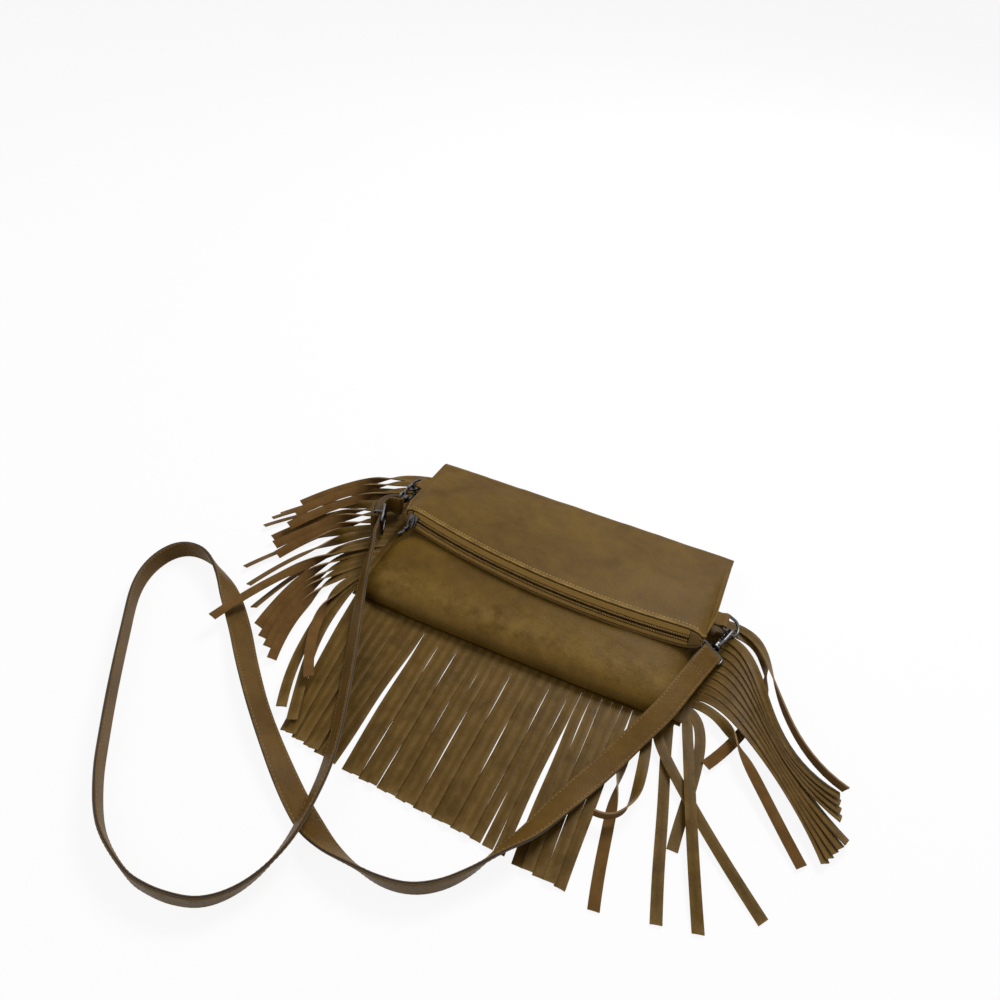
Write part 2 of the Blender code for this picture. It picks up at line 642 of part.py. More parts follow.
def drawn_curve(points, share):
    """The point and direction at a share of the way along the curve that some points draw."""
    while len(points) > 2:
        points = [here.lerp(there, share) for here, there in zip(points, points[1:])]
    return points[0].lerp(points[1], share), (points[1] - points[0]).normalized()


def strip_frames(root, outward, route, turn, width):
    """Frames (centre, side, normal) of a strip that leaves its header outward and may turn over."""
    up = Vector((0, 0, 1))
    frames = [(root, up.cross(outward), up)]
    steps = TURNED_STRIP_STEPS if turn else FLAT_STRIP_STEPS
    for step in range(1, steps + 1):
        share = step / steps
        centre, along = drawn_curve([root, *route], share)
        level = up.cross(along).normalized()
        part = min(max((share - TURN_START) / TURN_SHARE, 0.0), 1.0)
        twist = Matrix.Rotation(turn * part * part * (3 - 2 * part), 3, along)
        side = twist @ level
        normal = along.cross(side)
        lowest = FLOOR_CLEARANCE + abs(side.z) * width / 2 + abs(normal.z) * FRINGE_THICKNESS / 2
        frames.append((Vector((centre.x, centre.y, max(centre.z, lowest))), side, normal))
    return frames


def nearest_face(bm, point):
    return min(bm.faces, key=lambda face: (face.calc_center_median() - point).length)


def add_fringe(name, frame, finish, start, along, outward, bundles):
    """A header along a seam, with strips cut from its outer edge. It is one sheet."""
    strips = bundled_strips(bundles)
    half = FRINGE_THICKNESS / 2
    up = Vector((0, 0, 1))
    width = STRIP_PITCH - STRIP_SLIT
    corners = ((-FRINGE_INSERT, -half), (FRINGE_HEADER, -half), (FRINGE_HEADER, half), (-FRINGE_INSERT, half))
    places = [0.0]
    for index in range(len(strips)):
        places += [index * STRIP_PITCH + STRIP_SLIT / 2 + width * share for share in (0, 1)]
    places.append(len(strips) * STRIP_PITCH)
    bm = bmesh.new()
    loft(bm, [[start + along * place + outward * x + up * z for x, z in corners] for place in places])
    for index, (route, turn) in enumerate(strips):
        root = start + along * (index + 0.5) * STRIP_PITCH + outward * FRINGE_HEADER
        sweep_face(bm, nearest_face(bm, root), strip_frames(root, outward, route, turn, width))
    add_object(name, bm, finish, frame)


def add_fringes(frame, finish):
    length = STRIP_PITCH * sum(bundle[0] for bundle in BOTTOM_BUNDLES)
    start = Vector((-length / 2, 0, HEADER_HEIGHT))
    add_fringe("bottom_fringe", frame, finish, start, Vector((1, 0, 0)), Vector((0, -1, 0)), BOTTOM_BUNDLES)
    for name, sign, bundles in (("left_fringe", -1, LEFT_BUNDLES), ("right_fringe", 1, RIGHT_BUNDLES)):
        start = Vector((sign * HALF_WIDTH, SIDE_START, HEADER_HEIGHT))
        add_fringe(name, frame, finish, start, Vector((0, 1, 0)), Vector((sign, 0, 0)), bundles)


def flap_underside(x, y):
    """The height of the flap's lower face at a place beside the inner fold."""
    line = front_line(x)
    start = line[-LOWER_FLAP_STEPS - 1]
    end = line[-1]
    share = (start.y - y) / (start.y - end.y)
    return start.z + (end.z - start.z) * share - PANEL_THICKNESS / 2


def ring_place(sign):
    """A D-ring's frame: its origin in its bar, X out of its tab and Y along the side seam."""
    y = ZIP_RIGHT.y + RIGHT_TAB_BEHIND_ZIP if sign > 0 else ZIP_LEFT.y + LEFT_TAB_BEHIND_ZIP
    far = y + TAB_WIDTH / 2
    insets = (0, TAB_INSERT, 2 * TAB_INSERT)
    under = min(flap_underside(sign * (HALF_WIDTH - inset), far) for inset in insets)
    height = under - SEAT_GAP - 1.5 * TAB_THICKNESS - SEAT_GAP / 2
    origin = Vector((sign * (HALF_WIDTH + TAB_REACH), y, height))
    out = Vector((sign * math.cos(RING_DROOP), 0, -math.sin(RING_DROOP)))
    return local_frame(origin, out, Vector((0, 1, 0)))


def add_ring_and_tab(side, sign, frame, leather, metal):
    """A D-ring and the leather tab that holds it under the flap's side seam."""
    place = ring_place(sign)
    origin = place.translation
    half = RING_WIDTH / 2
    turns = [math.pi / 2 * (1 - step / 5) for step in range(11)]
    bow = [(RING_LEG + RING_BOW * math.cos(turn), half * math.sin(turn), 0) for turn in turns]
    bar = [(0, half * share, 0) for share in (-1, -0.33, 0.33, 1)]
    bm = bmesh.new()
    closed_wire(bm, place, bow + bar, RING_WIRE, 6)
    add_object(f"{side}_d_ring", bm, metal, frame, origin)
    wrap = RING_WIRE + RUNNING_GAP + TAB_THICKNESS / 2
    leg = (TAB_THICKNESS + SEAT_GAP) / 2
    line = [Vector((0, -TAB_REACH - TAB_INSERT, leg)), Vector((0, -2 * wrap, leg))]
    for step in range(9):
        turn = math.radians(130 - 260 * step / 8)
        line.append(Vector((0, wrap * math.cos(turn), wrap * math.sin(turn))))
    line += [Vector((0, -2 * wrap, -leg)), Vector((0, -TAB_REACH - TAB_INSERT, -leg))]
    ring = sheet_ring(line, TAB_THICKNESS)
    places = (-TAB_WIDTH / 2, TAB_WIDTH / 2)
    bm = bmesh.new()
    loft(bm, [[origin + Vector((sign * point.y, y, point.z)) for point in ring] for y in places])
    add_object(f"{side}_ring_tab", bm, leather, frame)


def hook_place(sign, aim):
    """A hook's frame: X from its bow to its eye, Z across its flat. The D-ring's near leg passes its bow."""
    ring = ring_place(sign)
    leg = ring @ Vector((RING_LEG * 0.75, -RING_WIDTH / 2, 0))
    seat = HOOK_BOW - HOOK_WIRE - RING_WIRE - RUNNING_GAP
    flat = ring.to_3x3() @ Vector((1, 0, 0))
    return local_frame(leg + aim.normalized() * seat, aim, flat.cross(aim))


def add_hook(side, sign, aim, across, frame, metal):
    """A swivel snap hook: its body, its sprung gate with the pin it turns on, and the eye for the strap."""
    place = hook_place(sign, aim)
    neck = BOSS_START + BOSS_LENGTH / 2
    ear_low = GATE_THICKNESS / 2 + RUNNING_GAP
    pivot = place @ Matrix.Translation((HOOK_PIVOT, HOOK_BOW, 0)) @ Matrix.Rotation(-math.pi / 2, 4, "Y")
    bm = bmesh.new()
    rod(bm, place, BOSS_RADIUS, BOSS_START, BOSS_START + BOSS_LENGTH)
    body = add_object(f"{side}_hook_body", bm, metal, frame, place @ Vector((BOSS_START, 0, 0)))
    bm = bmesh.new()
    turns = [math.pi * (1.5 - step / 8) for step in range(9)]
    bow = [(HOOK_BOW * math.cos(turn), HOOK_BOW * math.sin(turn), 0) for turn in turns]
    stem = [(neck, -BOSS_RADIUS * 0.75, 0), (HOOK_PIVOT - HOOK_WIRE, -HOOK_BOW, 0)]
    open_wire(bm, place, [*stem, *bow, (HOOK_TIP, HOOK_BOW, 0)], HOOK_WIRE)
    change_with(body, f"{side}_hook_bow", bm, "UNION")
    for number, low in (("front", ear_low), ("rear", -ear_low - EAR_THICKNESS)):
        bm = bmesh.new()
        prism(bm, place, hook_ear(low, neck), (0, 0, EAR_THICKNESS))
        change_with(body, f"{side}_hook_{number}_ear", bm, "UNION")
    bm = bmesh.new()
    rod(bm, place, EYE_WIRE + RUNNING_GAP, BOSS_START - BOSS_LENGTH / 2, BOSS_START + 2 * BOSS_LENGTH)
    change_with(body, f"{side}_hook_bore", bm, "DIFFERENCE")
    pin_half = ear_low + EAR_THICKNESS
    bm = bmesh.new()
    rod(bm, pivot, PIN_RADIUS + PIN_PLAY, -2 * pin_half, 2 * pin_half)
    change_with(body, f"{side}_hook_pin_hole", bm, "DIFFERENCE")
    bm = bmesh.new()
    rod(bm, pivot, PIN_RADIUS, -pin_half, pin_half, 8)
    add_object(f"{side}_gate_pin", bm, metal, frame, pivot.translation)
    bm = bmesh.new()
    prism(bm, place, gate_outline(), (0, 0, GATE_THICKNESS))
    gate = add_object(f"{side}_hook_gate", bm, metal, frame, pivot.translation)
    bm = bmesh.new()
    rod(bm, pivot, PIN_RADIUS + PIN_PLAY, -GATE_THICKNESS, GATE_THICKNESS, 8)
    change_with(gate, f"{side}_gate_bore", bm, "DIFFERENCE")
    add_eye(side, place, across, frame, metal)


def hook_ear(low, neck):
    """The outline of one of the two ears that hold the gate's pin."""
    start = HOOK_PIVOT - GATE_WIDTH * 0.7
    top = HOOK_BOW + GATE_WIDTH * 0.6
    return (
        (start, HOOK_BOW - GATE_WIDTH * 0.6, low), (BOSS_START - RUNNING_GAP, HOOK_BOW - GATE_WIDTH, low),
        (neck, BOSS_RADIUS * 0.5, low), (neck, BOSS_RADIUS * 0.8, low),
        (HOOK_PIVOT + GATE_WIDTH / 2, top, low), (start, top, low),
    )


def gate_outline():
    """The gate's outline: a bar with a rounded heel at its pin, that ends short of the bow's tip."""
    half = GATE_WIDTH / 2
    heel = HOOK_PIVOT + half * 0.8
    tip = HOOK_TIP + RUNNING_GAP
    outline = (
        (tip, -half), (HOOK_PIVOT, -half), (heel, -half * 0.6),
        (heel, half * 0.6), (HOOK_PIVOT, half), (tip, half),
    )
    return [(x, HOOK_BOW + y, -GATE_THICKNESS / 2) for x, y in outline]


def add_eye(side, place, across, frame, metal):
    """The swivel eye: a headed shank through the hook's boss and a loop as wide as the strap."""
    half_length = (EYE_BAR - EYE_START) / 2
    half_width = STRAP_WIDTH / 2 + EYE_WIRE + SIDE_PLAY
    head = BOSS_START - RUNNING_GAP
    along = place.to_3x3() @ Vector((1, 0, 0))
    eye = local_frame(place @ Vector((EYE_START + half_length, 0, 0)), along, across)
    bm = bmesh.new()
    closed_wire(bm, eye, rounded_loop(half_length, half_width, EYE_WIRE * 1.25), EYE_WIRE)
    made = add_object(f"{side}_hook_eye", bm, metal, frame, place @ Vector((BOSS_START, 0, 0)))
    bm = bmesh.new()
    rod(bm, place, EYE_WIRE, head - EYE_WIRE / 2, EYE_START, 10)
    change_with(made, f"{side}_eye_shank", bm, "UNION")
    bm = bmesh.new()
    rod(bm, place, EYE_HEAD, head - EYE_WIRE, head, 10)
    change_with(made, f"{side}_eye_head", bm, "UNION")


class StrapRoute:
    """The strap's middle line, from the right eye's bar to the left one."""

    def __init__(self):
        ends = []
        for sign, aim, lean in ((1, RIGHT_HOOK_AIM, RIGHT_EYE_LEAN), (-1, LEFT_HOOK_AIM, LEFT_EYE_LEAN)):
            bar = hook_place(sign, aim) @ Vector((EYE_BAR, 0, 0))
            ends.append(Vector((*bar, math.radians(lean))))
        chosen = [Vector((x * MM, y * MM, z * MM, math.radians(lean))) for x, y, z, lean in STRAP_ROUTE]
        self.points = smooth_curve([ends[0], *chosen, ends[1]], 4)
        self.places = [0.0]
        for here, there in zip(self.points, self.points[1:]):
            self.places.append(self.places[-1] + (there.xyz - here.xyz).length)
        self.length = self.places[-1]

    def at(self, distance):
        """The point and lean at a distance along the line, which runs on straight past its ends."""
        index = 0
        while index < len(self.places) - 2 and self.places[index + 1] < distance:
            index += 1
        span = self.places[index + 1] - self.places[index]
        share = (distance - self.places[index]) / span
        point = self.points[index].lerp(self.points[index + 1], share)
        point.w = self.points[index].lerp(self.points[index + 1], min(max(share, 0), 1)).w
        return point

    def frame_at(self, distance):
        """The line's (centre, tangent, side, normal) at a distance along it."""
        here = self.at(distance)
        tangent = (self.at(distance + STRAP_PLY).xyz - self.at(distance - STRAP_PLY).xyz).normalized()
        level = Vector((0, 0, 1)).cross(tangent).normalized()
        side = Matrix.Rotation(here.w, 3, tangent) @ level
        return here.xyz, tangent, side, tangent.cross(side)


def strap_profile(length):
    """The strap's path as (distance, offset) pairs beside its middle line, from its right end to its left."""
    far_wrap = -2 * BAR_WRAP - LAYER_OFFSET / 4
    centre_bar = length - ADJUSTER_FROM_EYE
    bar_offset = -BAR_WRAP
    over_bar = SEAT_GAP + STRAP_THICKNESS
    dip = over_bar - STRAP_THICKNESS / 2
    spacing = ADJUSTER_SPACING
    path = [(STRAP_END, -LAYER_OFFSET), (STRAP_END / 2, -LAYER_OFFSET), (3 * EYE_WRAP, -LAYER_OFFSET)]
    for step in range(7):
        turn = -math.pi / 2 - math.pi * step / 6
        path.append((EYE_WRAP * math.cos(turn), EYE_WRAP * math.sin(turn)))
    path += [(3 * EYE_WRAP, LAYER_OFFSET), (STRAP_END / 2, LAYER_OFFSET), (STRAP_END, LAYER_OFFSET)]
    first = STRAP_END + STRAP_STEP
    last = centre_bar - spacing - STRAP_STEP
    count = round((last - first) / STRAP_STEP)
    path += [(first + (last - first) * index / count, 0) for index in range(count + 1)]
    path += [
        (centre_bar - spacing, dip), (centre_bar - spacing / 2, (dip + over_bar) / 2), (centre_bar, over_bar),
        (centre_bar + spacing / 2, (dip + over_bar) / 2),
    ]
    first = centre_bar + spacing
    last = length - 3 * EYE_WRAP
    bend = [first + (last - first) * step / 4 for step in range(5)]
    path += [(place, dip) for place in bend]
    for step in range(7):
        turn = math.pi / 2 - math.pi * step / 6
        path.append((length + EYE_WRAP * math.cos(turn), EYE_WRAP * math.sin(turn)))
    path += [(place, dip - 2 * LAYER_OFFSET) for place in reversed(bend)]
    path.append((centre_bar + spacing / 2, -STRAP_PLY / 2))
    for step in range(7):
        turn = math.pi / 2 + math.pi * step / 6
        path.append((centre_bar + BAR_WRAP * math.cos(turn), bar_offset + BAR_WRAP * math.sin(turn)))
    path.append((centre_bar + STRAP_TAIL, far_wrap))
    return path


def add_adjuster(route, frame, metal):
    """The slide adjuster: two outer bars over the strap and a lower centre bar that its end is sewn round."""
    centre, tangent, side, normal = route.frame_at(route.length - ADJUSTER_FROM_EYE)
    dip = SEAT_GAP + STRAP_THICKNESS / 2
    outer = dip + BAR_WRAP
    place = local_frame(centre + normal * outer, tangent, side)
    half_width = STRAP_WIDTH / 2 + ADJUSTER_WIRE + SIDE_PLAY
    bm = bmesh.new()
    closed_wire(bm, place, rounded_loop(ADJUSTER_SPACING, half_width, 2 * ADJUSTER_WIRE), ADJUSTER_WIRE)
    made = add_object("strap_adjuster", bm, metal, frame, centre)
    drop = -outer - BAR_WRAP
    inner = half_width - ADJUSTER_WIRE / 4
    top = ADJUSTER_WIRE / 4
    staple = [(0, -inner, top), (0, -inner, drop), (0, inner, drop), (0, inner, top)]
    bm = bmesh.new()
    open_wire(bm, place, staple, ADJUSTER_WIRE * 0.85, 6)
    change_with(made, "adjuster_centre_bar", bm, "UNION")


def add_strap(route, frame, leather):
    line = []
    for distance, offset in strap_profile(route.length):
        centre, _, side, normal = route.frame_at(distance)
        line.append((centre + normal * offset, side))
    rings = []
    for index, (point, side) in enumerate(line):
        ahead = line[min(index + 1, len(line) - 1)][0]
        behind = line[max(index - 1, 0)][0]
        across = side * STRAP_WIDTH / 2
        through = side.cross(ahead - behind).normalized() * STRAP_THICKNESS / 2
        corners = (-across - through, across - through, across + through, through - across)
        rings.append([point + corner for corner in corners])
    bm = bmesh.new()
    loft(bm, rings)
    add_object("strap", bm, leather, frame)


def main():
    clear_scene()
    frame = bag_empty()
    leather = material("olive_leather", (0.16, 0.1, 0.025), 0.42)
    strips = material("fringe_leather", (0.19, 0.12, 0.035), 0.5)
    tape = material("zip_tape", (0.42, 0.27, 0.09), 0.8)
    coil = material("zip_coil", (0.15, 0.09, 0.03), 0.4)
    metal = material("gunmetal", (0.05, 0.05, 0.055), 0.3, 1.0)
    add_panels(frame, leather)
    add_zip_chain(frame, tape, coil, leather)
    add_slider(frame, metal)
    add_pull(frame, metal)
    add_fringes(frame, strips)
    hardware = (
        ("left", -1, LEFT_HOOK_AIM, LEFT_EYE_ACROSS),
        ("right", 1, RIGHT_HOOK_AIM, RIGHT_EYE_ACROSS),
    )
    for side, sign, aim, across in hardware:
        add_ring_and_tab(side, sign, frame, leather, metal)
        add_hook(side, sign, aim, across, frame, metal)
    route = StrapRoute()
    add_adjuster(route, frame, metal)
    add_strap(route, frame, leather)


main()
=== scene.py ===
"""Looks of a fold-over leather bag with cut fringe, a curved zip and a clip-on strap.

Lengths are in metres. The pouch's shapes are worked out from the middle of its bottom seam, and moved at the
end by SEAM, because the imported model's origin is the middle of the face that the bag rests on.
"""

import json
import logging
import math
import random
from collections.abc import Callable, Iterable, Sequence
from dataclasses import dataclass, field
from enum import Enum
from functools import cached_property

import bmesh
import bpy
from mathutils import Matrix, Vector, noise

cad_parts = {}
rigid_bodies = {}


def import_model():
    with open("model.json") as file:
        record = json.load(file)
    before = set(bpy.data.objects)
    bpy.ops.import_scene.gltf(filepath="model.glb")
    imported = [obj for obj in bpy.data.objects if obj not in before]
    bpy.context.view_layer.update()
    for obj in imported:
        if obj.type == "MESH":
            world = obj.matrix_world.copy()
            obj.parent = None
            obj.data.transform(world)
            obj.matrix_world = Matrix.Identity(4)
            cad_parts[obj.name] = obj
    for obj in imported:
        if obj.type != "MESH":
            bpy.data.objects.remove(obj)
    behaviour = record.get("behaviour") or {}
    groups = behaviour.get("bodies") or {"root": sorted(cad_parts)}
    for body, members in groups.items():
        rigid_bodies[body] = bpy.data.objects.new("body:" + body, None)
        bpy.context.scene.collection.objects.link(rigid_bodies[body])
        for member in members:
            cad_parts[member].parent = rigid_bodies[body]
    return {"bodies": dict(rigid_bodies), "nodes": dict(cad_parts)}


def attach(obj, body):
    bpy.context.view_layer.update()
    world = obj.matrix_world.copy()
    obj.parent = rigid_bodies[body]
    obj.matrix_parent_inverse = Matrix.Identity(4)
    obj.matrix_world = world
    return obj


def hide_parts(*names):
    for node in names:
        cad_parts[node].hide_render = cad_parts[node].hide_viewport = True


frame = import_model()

log = logging.getLogger("bag")
MM = 0.001
SEAM = Vector((0.0, -0.087, 0.0))
UP = Vector((0.0, 0.0, 1.0))
Ring = tuple[Vector, Vector, Vector]
Strip = tuple[list[Vector], float]
Spot = tuple[float, float]


class Side(Enum):
    """The two ends of the bag, with their signs along its width."""

    LEFT = -1
    RIGHT = 1

    @property
    def word(self) -> str:
        """The side's name as the nodes have it."""
        return self.name.lower()


class Layer(Enum):
    """Material slots of a leather sheet."""

    FACE = 0
    BACK = 1
    EDGE = 2


# Finishes


class NodeSheet:
    """A small helper that lays out and joins shader nodes."""

    def __init__(self, tree: bpy.types.NodeTree) -> None:
        """Keep the node tree to work in.

        Args:
            tree: The tree of a material or a group.
        """
        self.tree = tree

    def add(
        self, kind: str, inputs: dict[str | int, object] | None = None, **settings: object,
    ) -> bpy.types.Node:
        """Add one node.

        Args:
            kind: The node's type name without its prefix.
            inputs: Values or sockets for its inputs.
            settings: Properties of the node itself.

        Returns:
            The node.
        """
        node = self.tree.nodes.new("ShaderNode" + kind)
        for name, value in settings.items():
            setattr(node, name, value)
        for key, value in (inputs or {}).items():
            if isinstance(value, bpy.types.NodeSocket):
                self.tree.links.new(value, node.inputs[key])
            else:
                node.inputs[key].default_value = value
        return node

    def math(self, operation: str, first: object, second: object = 0.0) -> bpy.types.NodeSocket:
        """One Math node.

        Args:
            operation: The operation's name.
            first: A number or a socket.
            second: A number or a socket.

        Returns:
            The result's socket.
        """
        return self.add("Math", {0: first, 1: second}, operation=operation).outputs[0]

    def mix(self, factor: object, first: object, second: object) -> bpy.types.NodeSocket:
        """Mix two colours.

        Args:
            factor: A number or a socket.
            first: The colour at 0.
            second: The colour at 1.

        Returns:
            The mixed colour's socket.
        """
        node = self.add("Mix", data_type="RGBA")
        for index, value in ((0, factor), (6, first), (7, second)):
            if isinstance(value, bpy.types.NodeSocket):
                self.tree.links.new(value, node.inputs[index])
            else:
                node.inputs[index].default_value = value
        return node.outputs[2]

    def ramp(self, value: bpy.types.NodeSocket, low: float, high: float) -> bpy.types.NodeSocket:
        """Stretch a value so that low becomes 0 and high becomes 1.

        Args:
            value: The socket to stretch.
            low: Its value that becomes 0.
            high: Its value that becomes 1.

        Returns:
            The stretched value's socket.
        """
        return self.add("MapRange", {0: value, 1: low, 2: high}).outputs[0]


class GroupSheet(NodeSheet):
    """The sheet of a shader node group."""

    def __init__(self, name: str, inputs: dict[str, str], outputs: dict[str, str]) -> None:
        """Make the group with its sockets.

        Args:
            name: The group's name.
            inputs: The kind of each of its inputs.
            outputs: The kind of each of its outputs.
        """
        super().__init__(bpy.data.node_groups.new(name, "ShaderNodeTree"))
        for sockets, way in ((inputs, "INPUT"), (outputs, "OUTPUT")):
            for socket, kind in sockets.items():
                self.tree.interface.new_socket(socket, in_out=way, socket_type="NodeSocket" + kind)
        self.given = self.tree.nodes.new("NodeGroupInput").outputs
        self.put = self.tree.nodes.new("NodeGroupOutput").inputs

    @cached_property
    def place(self) -> bpy.types.NodeSocket:
        """The place on the piece itself."""
        return self.add("TexCoord").outputs["Object"]

    def noise(
        self, scale: float, detail: float, roughness: float = 0.5, distortion: float = 0.0,
    ) -> bpy.types.NodeSocket:
        """Noise at the place on the piece.

        Args:
            scale: How fine it is, per metre.
            detail: Its octaves.
            roughness: How strong the finer octaves are.
            distortion: How far it is warped.

        Returns:
            The noise's value.
        """
        inputs = {
            "Vector": self.place, "Scale": scale, "Detail": detail, "Roughness": roughness,
            "Distortion": distortion,
        }
        return self.add("TexNoise", inputs).outputs[0]

    def done(self, **results: bpy.types.NodeSocket) -> bpy.types.NodeTree:
        """Join each result to the output of its name.

        Args:
            results: The sockets that the group gives.

        Returns:
            The finished group.
        """
        for name, socket in results.items():
            self.tree.links.new(socket, self.put[name])
        return self.tree


def grain_group() -> bpy.types.NodeTree:
    """Grained leather: mottled colour, fine pebbles with painted shade between them, soft creases, lighter
    worn places, and a painted highlight where the wear attribute marks the pouch's belly.
    """
    sheet = GroupSheet(
        "leather_grain",
        {"Colour": "Color", "Shade": "Color", "Worn": "Color", "Wear": "Float", "Pebble": "Float"},
        {"Colour": "Color", "Roughness": "Float", "Height": "Float"},
    )
    given = sheet.given
    patches = sheet.noise(22.0, 4.0, distortion=0.8)
    cloudy = sheet.noise(90.0, 5.0, 0.65)
    creases = sheet.noise(160.0, 6.0, 0.6, 1.6)
    pores = sheet.noise(2600.0, 2.0)
    pebbles = sheet.add("TexVoronoi", {"Vector": sheet.place, "Scale": given["Pebble"]}).outputs["Distance"]
    mottle = sheet.math("ADD", sheet.math("MULTIPLY", patches, 0.62), sheet.math("MULTIPLY", cloudy, 0.38))
    base = sheet.mix(sheet.ramp(mottle, 0.38, 0.62), given["Shade"], given["Colour"])
    # Painted shade: the colour darkens towards Shade between the pebbles, where the grain's relief sinks.
    pebble_hollow_shade = sheet.math("MULTIPLY", sheet.ramp(pebbles, 0.55, 0.9), 0.35)
    pebble_shaded = sheet.mix(pebble_hollow_shade, base, given["Shade"])
    # Lighter towards the worn colour where the wear attribute is high: real rubbing, and on the pouch's belly
    # a painted highlight.
    rubbed_and_lit = sheet.math("MULTIPLY", given["Wear"], sheet.ramp(cloudy, 0.3, 0.6))
    relief = sheet.math("ADD", sheet.math("MULTIPLY", creases, 1.6), sheet.math("MULTIPLY", pores, 0.12))
    return sheet.done(
        Colour=sheet.mix(rubbed_and_lit, pebble_shaded, given["Worn"]),
        Roughness=sheet.math("ADD", sheet.math("MULTIPLY", cloudy, 0.22), 0.34),
        Height=sheet.math("SUBTRACT", relief, sheet.math("MULTIPLY", pebbles, 0.35)),
    )


def nap_group() -> bpy.types.NodeTree:
    """The nap of split leather: a clouded colour with short fibres."""
    sheet = GroupSheet(
        "suede_nap", {"Colour": "Color", "Shade": "Color"}, {"Colour": "Color", "Height": "Float"},
    )
    clouds = sheet.noise(70.0, 5.0, 0.7)
    fibres = sheet.noise(1700.0, 4.0, distortion=1.2)
    blend = sheet.math("ADD", sheet.math("MULTIPLY", clouds, 0.6), sheet.math("MULTIPLY", fibres, 0.4))
    colour = sheet.mix(sheet.ramp(blend, 0.36, 0.64), sheet.given["Shade"], sheet.given["Colour"])
    return sheet.done(Colour=colour, Height=fibres)


def weave_group() -> bpy.types.NodeTree:
    """A woven tape: ribs along it, crossed by finer threads, on the piece's own map in metres.

    Its colour is painted darker in the weave's hollows, as shade.
    """
    sheet = GroupSheet(
        "tape_weave", {"Colour": "Color", "Shade": "Color"}, {"Colour": "Color", "Height": "Float"},
    )
    place = sheet.add("UVMap", uv_map="metres").outputs[0]
    ribs = sheet.add("TexWave", {"Vector": place, "Scale": 330.0}, bands_direction="X").outputs[1]
    threads = sheet.add("TexWave", {"Vector": place, "Scale": 520.0}, bands_direction="Y").outputs[1]
    woven = sheet.math("MULTIPLY", sheet.math("ADD", ribs, 0.35), sheet.math("ADD", threads, 0.5))
    # Painted shade: the tape darkens towards Shade where the weave sinks.
    colour = sheet.mix(sheet.ramp(woven, 0.1, 1.2), sheet.given["Shade"], sheet.given["Colour"])
    return sheet.done(Colour=colour, Height=woven)


def scuff_group() -> bpy.types.NodeTree:
    """Fine scuffs of plated metal, as a roughness and a colour."""
    sheet = GroupSheet(
        "plating_scuffs", {"Colour": "Color", "Bare": "Color"},
        {"Colour": "Color", "Roughness": "Float", "Height": "Float"},
    )
    smears = sheet.noise(420.0, 5.0, 0.7)
    scratches = sheet.noise(1500.0, 3.0, distortion=3.0)
    colour = sheet.mix(sheet.ramp(scratches, 0.62, 0.78), sheet.given["Colour"], sheet.given["Bare"])
    rough = sheet.math("ADD", sheet.math("MULTIPLY", smears, 0.3), 0.16)
    return sheet.done(Colour=colour, Roughness=rough, Height=scratches)


class Groups:
    """The shared node groups, each made once."""

    made: dict[str, bpy.types.NodeTree] = {}
    makers: dict[str, Callable[[], bpy.types.NodeTree]] = {
        "grain": grain_group, "nap": nap_group, "weave": weave_group, "scuffs": scuff_group,
    }

    @classmethod
    def get(cls, word: str) -> bpy.types.NodeTree:
        """The group of that name."""
        if word not in cls.made:
            cls.made[word] = cls.makers[word]()
        return cls.made[word]


@dataclass(frozen=True)
class Finish:
    """A material built on one shared node group.

    colours fill the group's colour inputs in their order, relief is the bump's depth in metres, pebble is how
    fine the grain is, per metre, and wear names the attribute that says how worn the surface is, and on the
    pouch's belly how strong its painted highlight is.
    """

    name: str
    group: str
    colours: tuple[tuple[float, float, float], ...]
    relief: float
    roughness: float = 0.5
    metallic: float = 0.0
    sheen: float = 0.0
    specular: float = 0.5
    pebble: float = 1100.0
    wear: str = ""

    def build(self) -> bpy.types.Material:
        """Make the material, or return it if it is already made."""
        if self.name in bpy.data.materials:
            return bpy.data.materials[self.name]
        made = bpy.data.materials.new(self.name)
        made.use_nodes = True
        sheet = NodeSheet(made.node_tree)
        shader = made.node_tree.nodes["Principled BSDF"]
        group = sheet.add("Group", node_tree=Groups.get(self.group))
        for socket, colour in zip(group.inputs, self.colours):
            socket.default_value = (*colour, 1.0)
        if "Pebble" in group.inputs:
            group.inputs["Pebble"].default_value = self.pebble
        if self.wear:
            attribute = sheet.add("Attribute", attribute_name=self.wear)
            made.node_tree.links.new(attribute.outputs["Fac"], group.inputs["Wear"])
        made.node_tree.links.new(group.outputs["Colour"], shader.inputs["Base Color"])
        shader.inputs["Roughness"].default_value = self.roughness
        if "Roughness" in group.outputs:
            made.node_tree.links.new(group.outputs["Roughness"], shader.inputs["Roughness"])
        shader.inputs["Metallic"].default_value = self.metallic
        shader.inputs["Sheen Weight"].default_value = self.sheen
        shader.inputs["Specular IOR Level"].default_value = self.specular
        height = group.outputs["Height"]
        bump = sheet.add("Bump", {"Height": height, "Distance": self.relief, "Strength": 0.6})
        made.node_tree.links.new(bump.outputs[0], shader.inputs["Normal"])
        return made


POUCH_FACE = Finish(
    "olive_leather", "grain", ((0.125, 0.069, 0.0105), (0.084, 0.044, 0.006), (0.27, 0.165, 0.045)),
    0.0004, specular=0.08, wear="wear",
)
POUCH_BACK = Finish(
    "pouch_inside", "nap", ((0.2, 0.12, 0.045), (0.13, 0.075, 0.025)), 0.0001, 0.9, specular=0.05,
)
POUCH_EDGE = Finish(
    "turned_edge", "grain", ((0.2, 0.12, 0.035), (0.13, 0.075, 0.02), (0.3, 0.2, 0.06)), 0.0001,
    specular=0.08,
)
STRIP_FACE = Finish(
    "fringe_face", "grain", ((0.1, 0.054, 0.0085), (0.068, 0.036, 0.0055), (0.24, 0.15, 0.05)), 0.0002,
    specular=0.08, wear="wear",
)
STRIP_BACK = Finish(
    "fringe_suede_back", "nap", ((0.16, 0.084, 0.026), (0.1, 0.05, 0.014)), 0.00012, 0.92,
    sheen=0.06, specular=0.03,
)
